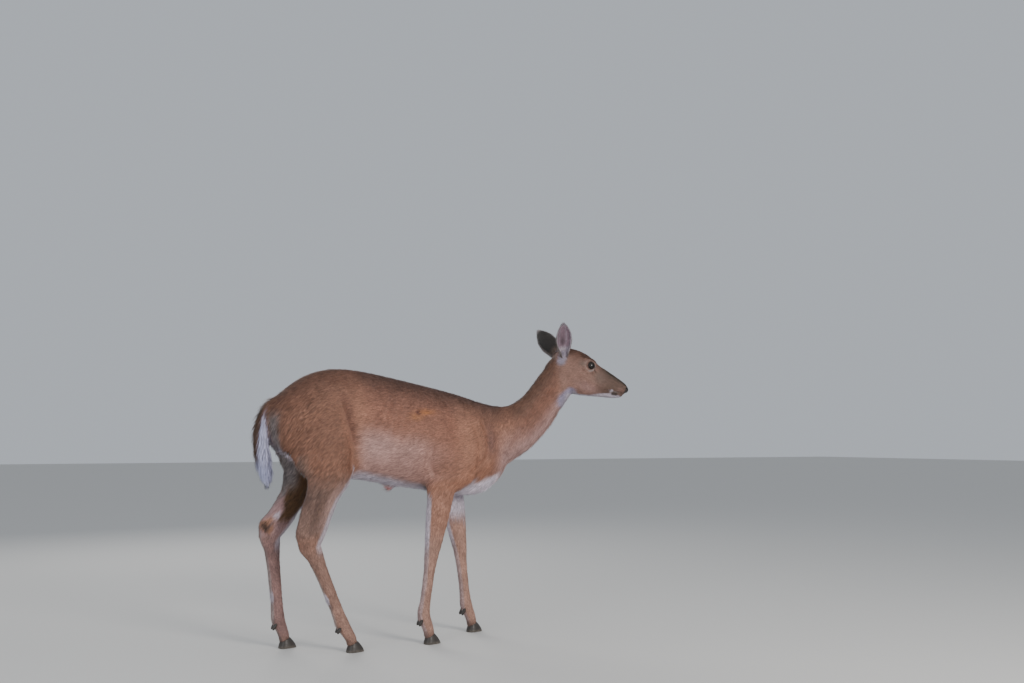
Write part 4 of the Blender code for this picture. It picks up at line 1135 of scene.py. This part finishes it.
def hair_material():
    """Hair: the marking of its root, darker at the root with painted shade and lighter to the tip with
    painted light, each lock a shade of its own.
    """
    made, tree, shader = new_material("deer_hair")
    where = add_node(tree, "ShaderNodeTexCoord", "Object", {})
    along_lock = add_node(tree, "ShaderNodeSeparateXYZ", "Y", {"Vector": kept_value(tree, "leaf", "Vector")})
    # Painted shade at the root of each lock and painted light on its tip.
    root_shade_tip_light = spread_over(tree, along_lock, 0.60, 1.18)
    # Ticked hair differs more from lock to lock.
    ticked = kept_value(tree, "ticked")
    darkest = spread_over(tree, ticked, 0.78, 0.52)
    lightest = spread_over(tree, ticked, 1.20, 1.72)
    shade = spread_over(tree, kept_value(tree, "shade"), darkest, lightest)
    patchy = spread_over(tree, noise(tree, where, 26.0, 4.0), 0.84, 1.14, 0.3, 0.7)
    tone = product(tree, product(tree, root_shade_tip_light, shade), patchy)
    feed(tree, shader, {
        "Base Color": mixed(tree, 1.0, kept_value(tree, "tint", "Color"), tone, "MULTIPLY"),
        "Roughness": 0.58, "Specular IOR Level": 0.35, "Sheen Weight": 0.12, "Sheen Roughness": 0.4})
    return made


# The hide is shared out into pieces that each carry about the same number of locks.
COAT_GROUPS = (("trunk", ("trunk",), 0), ("neck", ("neck",), 0), ("head", ("head",), 0),
               ("ears", EAR_NODES, 1), ("tail", ("tail",), 2), ("forelegs", LEGS[:2], 2),
               ("hindlegs", LEGS[2:], 2))
face_dense = np.bincount(corner_face, dense[corner_point]) / face_size
face_locks = numbers_of(faces, "area") * face_dense
middles = numbers_of(faces, "center", 3)
patch = np.zeros(len(faces), int)
patches = []
for group, names, axis in COAT_GROUPS:
    own = np.nonzero(np.isin(face_label, [PARTS.index(name) for name in names]))[0]
    own = own[np.argsort(middles[own, axis], kind="stable")]
    running = np.cumsum(face_locks[own])
    count = max(1, math.ceil(running[-1] / LOCKS_IN_PIECE))
    for k in range(count):
        part_of = (running > running[-1] * k / count) & (running <= running[-1] * (k + 1) / count)
        patches.append(f"coat_{group}_{k + 1}")
        patch[own[part_of]] = len(patches)
keep_value(skin.data, "patch", patch, "INT", "FACE")
lock_piece = new_piece("lock", lock_shape())
planting = coat_tree(lock_piece, hair_material())
sockets = {item.name: item.identifier for item in planting.interface.items_tree if item.in_out == "INPUT"}
for number, name in enumerate(patches):
    carrier = new_piece(name, skin.data)
    grow = carrier.modifiers.new("plant", "NODES")
    grow.node_group = planting
    grow[sockets["Patch"]] = number + 1
    grow[sockets["Seed"]] = COAT_SEED + 17 * number
    grow[sockets["Disorder"]] = 0.10
    grow[sockets["Flatness"]] = 0.30
    graph = bpy.context.evaluated_depsgraph_get()
    coat_mesh = bpy.data.meshes.new_from_object(carrier.evaluated_get(graph))
    carrier.modifiers.remove(grow)
    carrier.data = coat_mesh
    coat_mesh.name = name
    # Locks are shaded with the roundness of the body under them.
    under = numbers_of(coat_mesh.attributes["outward"].data, "vector", 3)
    blend = unit(0.72 * under + 0.38 * normals_of(coat_mesh)).astype(np.float32)
    coat_mesh.attributes.remove(coat_mesh.attributes["outward"])
    coat_mesh.polygons.foreach_set("use_smooth", np.ones(len(coat_mesh.polygons), bool))
    coat_mesh.normals_split_custom_set_from_vertices(blend)
    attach(carrier, "root")
bpy.data.objects.remove(lock_piece)
skin.data.attributes.remove(skin.data.attributes["patch"])

# ---------------------------------------------------------------------------------------------
# The eyes: a wet ball set deep under the lids, its clear front a little fuller than the rest.
# The iris is a very dark brown round a pupil that is wider than it is high.
EYE_RINGS = 40
EYE_SPOKES = 56
BALL_RADIUS = EYE_RADIUS - 0.0002
CORNEA = 0.0009  # how far the clear front stands beyond the ball
IRIS_SIZE = 0.0118
PUPIL = (0.0078, 0.0052)


def eye_ball(name, middle, side):
    out, length_way, height_way = eye_axes(side)
    bm = bmesh.new()
    rows = []
    gaze = []
    for ring in range(1, EYE_RINGS):
        angle = math.pi * ring / EYE_RINGS
        radius = BALL_RADIUS + CORNEA * math.exp(-((angle / 0.62) ** 4)) - CORNEA * 0.6
        row = []
        for spoke in range(EYE_SPOKES):
            turn = 2 * math.pi * spoke / EYE_SPOKES
            x = radius * math.sin(angle) * math.cos(turn)
            y = radius * math.sin(angle) * math.sin(turn)
            spot = middle + length_way * x + height_way * y + out * (radius * math.cos(angle))
            row.append(bm.verts.new(spot))
            gaze.append((x, y, math.cos(angle)))
        rows.append(row)
    front = bm.verts.new(middle + out * (BALL_RADIUS + CORNEA * 0.4))
    rear = bm.verts.new(middle - out * (BALL_RADIUS - CORNEA * 0.6))
    gaze += [(0.0, 0.0, 1.0), (0.0, 0.0, -1.0)]
    for spoke in range(EYE_SPOKES):
        beside = (spoke + 1) % EYE_SPOKES
        bm.faces.new((front, rows[0][spoke], rows[0][beside]))
        bm.faces.new((rear, rows[-1][beside], rows[-1][spoke]))
        for upper, lower in zip(rows, rows[1:]):
            bm.faces.new((upper[spoke], lower[spoke], lower[beside], upper[beside]))
    bmesh.ops.recalc_face_normals(bm, faces=bm.faces)
    for face in bm.faces:
        face.smooth = True
    ball = as_mesh(bm, name)
    keep_value(ball, "gaze", np.array(gaze), "FLOAT_VECTOR")
    return ball


def eye_material():
    """Wet eye: black pupil, dark brown iris with a fine mottle, brown-grey white."""
    made, tree, shader = new_material("deer_eye")
    gaze = kept_value(tree, "gaze", "Vector")

    def beyond(half_length, half_height, start, stop):
        """0 inside an oval round the middle of the eye, 1 outside it."""
        flat = add_node(tree, "ShaderNodeVectorMath", "Vector",
                        {0: gaze, 1: (1.0 / half_length, 1.0 / half_height, 0.0)}, operation="MULTIPLY")
        away = add_node(tree, "ShaderNodeVectorMath", "Value", {0: flat}, operation="LENGTH")
        return spread_over(tree, away, 0.0, 1.0, start, stop)

    brown = mixed(tree, noise(tree, gaze, 900.0), (0.020, 0.010, 0.005, 1.0), (0.045, 0.022, 0.011, 1.0))
    iris = mixed(tree, beyond(*PUPIL, 0.90, 1.12), (0.004, 0.004, 0.006, 1.0), brown)
    whole_eye = mixed(tree, beyond(IRIS_SIZE, IRIS_SIZE, 0.94, 1.10), iris, (0.060, 0.042, 0.034, 1.0))
    feed(tree, shader, {"Base Color": whole_eye, "Roughness": 0.10, "Specular IOR Level": 0.30,
                        "Coat Weight": 0.35, "Coat Roughness": 0.02})
    return made


eye_finish = eye_material()
for side, middle, which in EYES:
    name = "eye_" + which
    ball = new_piece(name + "_ball", eye_ball(name + "_ball", middle, side))
    ball.data.materials.append(eye_finish)
    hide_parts(name)
    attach(ball, "root")

# Lashes: stiff dark hairs along the upper lid, longest in its middle, curving out and up.
LASHES = 30
LASH_LENGTH = 0.0085
LASH_WIDTH = 0.00050


def lash_row(name, middle, side):
    out, length_way, height_way = eye_axes(side, LID_TILT)
    bm = bmesh.new()
    for k in range(LASHES):
        share = -0.86 + 1.60 * k / (LASHES - 1)
        x = ALMOND * share
        y = UPPER_LID * math.sqrt(1.0 - share ** 2) * (1.0 - 0.25 * abs(share)) + 0.0004
        z = math.sqrt((EYE_RADIUS + LID * 0.7) ** 2 - x * x - y * y)
        start = middle + length_way * x + height_way * y + out * z
        reach = LASH_LENGTH * (0.55 + 0.45 * math.cos(share * 1.5)) * (0.85 + 0.3 * ((k * 7) % 5) / 4)
        aim = unit(out * 0.85 + height_way * 0.15 + length_way * (0.55 * share - 0.15))
        beside = unit(np.cross(aim, height_way))
        above = np.cross(beside, aim)
        rings = []
        for step, width in ((0.0, 1.0), (0.35, 0.9), (0.7, 0.6)):
            centre = start + aim * (reach * step) + height_way * (reach * (-0.10 * step + 0.42 * step * step))
            corners = [beside * math.cos(a) + above * math.sin(a) for a in (0.5, 2.6, 4.7)]
            rings.append([bm.verts.new(centre + corner * LASH_WIDTH * width / 2) for corner in corners])
        tip = bm.verts.new(start + aim * reach + height_way * (reach * 0.32))
        for low_ring, high_ring in zip(rings, rings[1:]):
            for j in range(3):
                bm.faces.new((low_ring[j], low_ring[(j + 1) % 3], high_ring[(j + 1) % 3], high_ring[j]))
        for j in range(3):
            bm.faces.new((rings[-1][j], rings[-1][(j + 1) % 3], tip))
        bm.faces.new(rings[0][::-1])
    bmesh.ops.recalc_face_normals(bm, faces=bm.faces)
    return as_mesh(bm, name)


def lash_material():
    """Lash hair: near black, brown where the light catches it."""
    made, tree, shader = new_material("deer_lash")
    strands = noise(tree, add_node(tree, "ShaderNodeTexCoord", "Object", {}), 800.0)
    tone = tree.nodes.new("ShaderNodeValToRGB")
    tone.color_ramp.elements[0].color = (0.008, 0.006, 0.005, 1.0)
    tone.color_ramp.elements[1].color = (0.035, 0.022, 0.015, 1.0)
    feed(tree, tone, {"Fac": strands})
    feed(tree, shader, {"Base Color": tone.outputs["Color"], "Roughness": 0.45})
    return made


lash_finish = lash_material()
for side, middle, which in EYES:
    row = new_piece("lashes_" + which, lash_row("lashes_" + which, middle, side))
    row.data.materials.append(lash_finish)
    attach(row, "root")

# ---------------------------------------------------------------------------------------------
# The hooves and dewclaws: black horn, grown in shallow rings, scuffed pale at the toe and sole.
# The two claws of a foot stand side by side, and two dewclaws hang behind the fetlock.
def horn_material():
    """Horn: black-brown, ringed across its growth, greyer where it has worn."""
    made, tree, shader = new_material("deer_horn")
    where = add_node(tree, "ShaderNodeTexCoord", "Object", {})
    rings = add_node(tree, "ShaderNodeTexWave", "Color",
                     {"Vector": where, "Scale": 70.0, "Distortion": 2.5, "Detail": 2.0}, bands_direction="Z")
    scuffs = noise(tree, where, 120.0, 6.0)
    height = add_node(tree, "ShaderNodeSeparateXYZ", "Z", {"Vector": where})
    rubbed = product(tree, spread_over(tree, height, 0.0, 1.0, 0.012, 0.0), scuffs)
    dark = mixed(tree, scuffs, (0.018, 0.014, 0.012, 1.0), (0.048, 0.038, 0.031, 1.0))
    relief = add_node(tree, "ShaderNodeBump", "Normal",
                      {"Strength": 0.5, "Distance": 0.0005, "Height": rings})
    feed(tree, shader, {"Base Color": mixed(tree, rubbed, dark, (0.170, 0.145, 0.120, 1.0)),
                        "Roughness": 0.42, "Normal": relief})
    return made


horn_finish = horn_material()
for foot in ("fore_left", "fore_right", "hind_left", "hind_right"):
    claws = [f"{kind}_{foot}_{which}" for kind in ("hoof", "dewclaw") for which in ("inner", "outer")]
    shapes = [welded(claw, 0.0) for claw in claws]
    for shape in shapes:
        bmesh.ops.dissolve_limit(shape, angle_limit=0.02, verts=shape.verts, edges=shape.edges)
    feet = new_piece("horn_" + foot, joined(shapes, "horn_" + foot))
    finished(feet, "worn", "BEVEL", width=0.0011, segments=2, angle_limit=math.radians(38))
    finished(feet, "rounded", "SUBSURF", levels=1, render_levels=1)
    for face in feet.data.polygons:
        face.use_smooth = True
    feet.data.materials.append(horn_finish)
    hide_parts(*claws)
    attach(feet, "root")

# ---------------------------------------------------------------------------------------------
# The room: a wide, plain, pale floor under a pale sky, with three soft lights. It is only the
# stage the deer stands on.
FLOOR_REACH = 30.0
floor_shape = bmesh.new()
bmesh.ops.create_grid(floor_shape, x_segments=2, y_segments=2, size=FLOOR_REACH)
floor = new_piece("floor", as_mesh(floor_shape, "floor"))
paper, tree, shader = new_material("floor_paper")
feed(tree, shader, {"Base Color": (0.62, 0.61, 0.59, 1.0), "Roughness": 0.9})
floor.data.materials.append(paper)
floor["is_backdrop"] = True

sky = bpy.data.worlds.new("studio")
sky.use_nodes = True
feed(sky.node_tree, sky.node_tree.nodes["Background"], {"Color": (0.86, 0.92, 1.0, 1.0), "Strength": 0.55})
bpy.context.scene.world = sky


def soft_light(name, place, aim, size, power, colour):
    data = bpy.data.lights.new(name, "AREA")
    data.shape = "DISK"
    data.size = size
    data.energy = power
    data.color = colour
    lamp = bpy.data.objects.new(name, data)
    bpy.context.scene.collection.objects.link(lamp)
    lamp.location = place
    lamp.rotation_euler = (Vector(aim) - Vector(place)).to_track_quat("-Z", "Y").to_euler()


soft_light("key", (1.2, -4.3, 2.0), (0.0, 0.0, 0.65), 1.6, 150.0, (1.0, 0.96, 0.91))
soft_light("fill", (-3.4, -2.4, 1.3), (-0.2, 0.0, 0.6), 2.6, 48.0, (0.92, 0.96, 1.0))
soft_light("rim", (-0.6, 3.6, 3.0), (0.0, 0.0, 0.8), 2.2, 60.0, (1.0, 0.98, 0.95))

# The camera stands at the animal's right and behind its middle, below the height of its back.
CAMERA_AT = Vector((-1.4367, -3.469, 0.723))
CAMERA_WAY = Vector((0.4384, 0.8988, 0.0))
CAMERA_PITCH = math.radians(5.648)
camera_data = bpy.data.cameras.new("camera")
camera_data.lens = 35.0
camera_data.sensor_width = 36.0
camera = bpy.data.objects.new("camera", camera_data)
bpy.context.scene.collection.objects.link(camera)
camera.location = CAMERA_AT
aim_way = CAMERA_WAY.normalized() * math.cos(CAMERA_PITCH) + Vector((0.0, 0.0, math.sin(CAMERA_PITCH)))
camera.rotation_euler = aim_way.to_track_quat("-Z", "Y").to_euler()
bpy.context.scene.camera = camera

low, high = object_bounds()
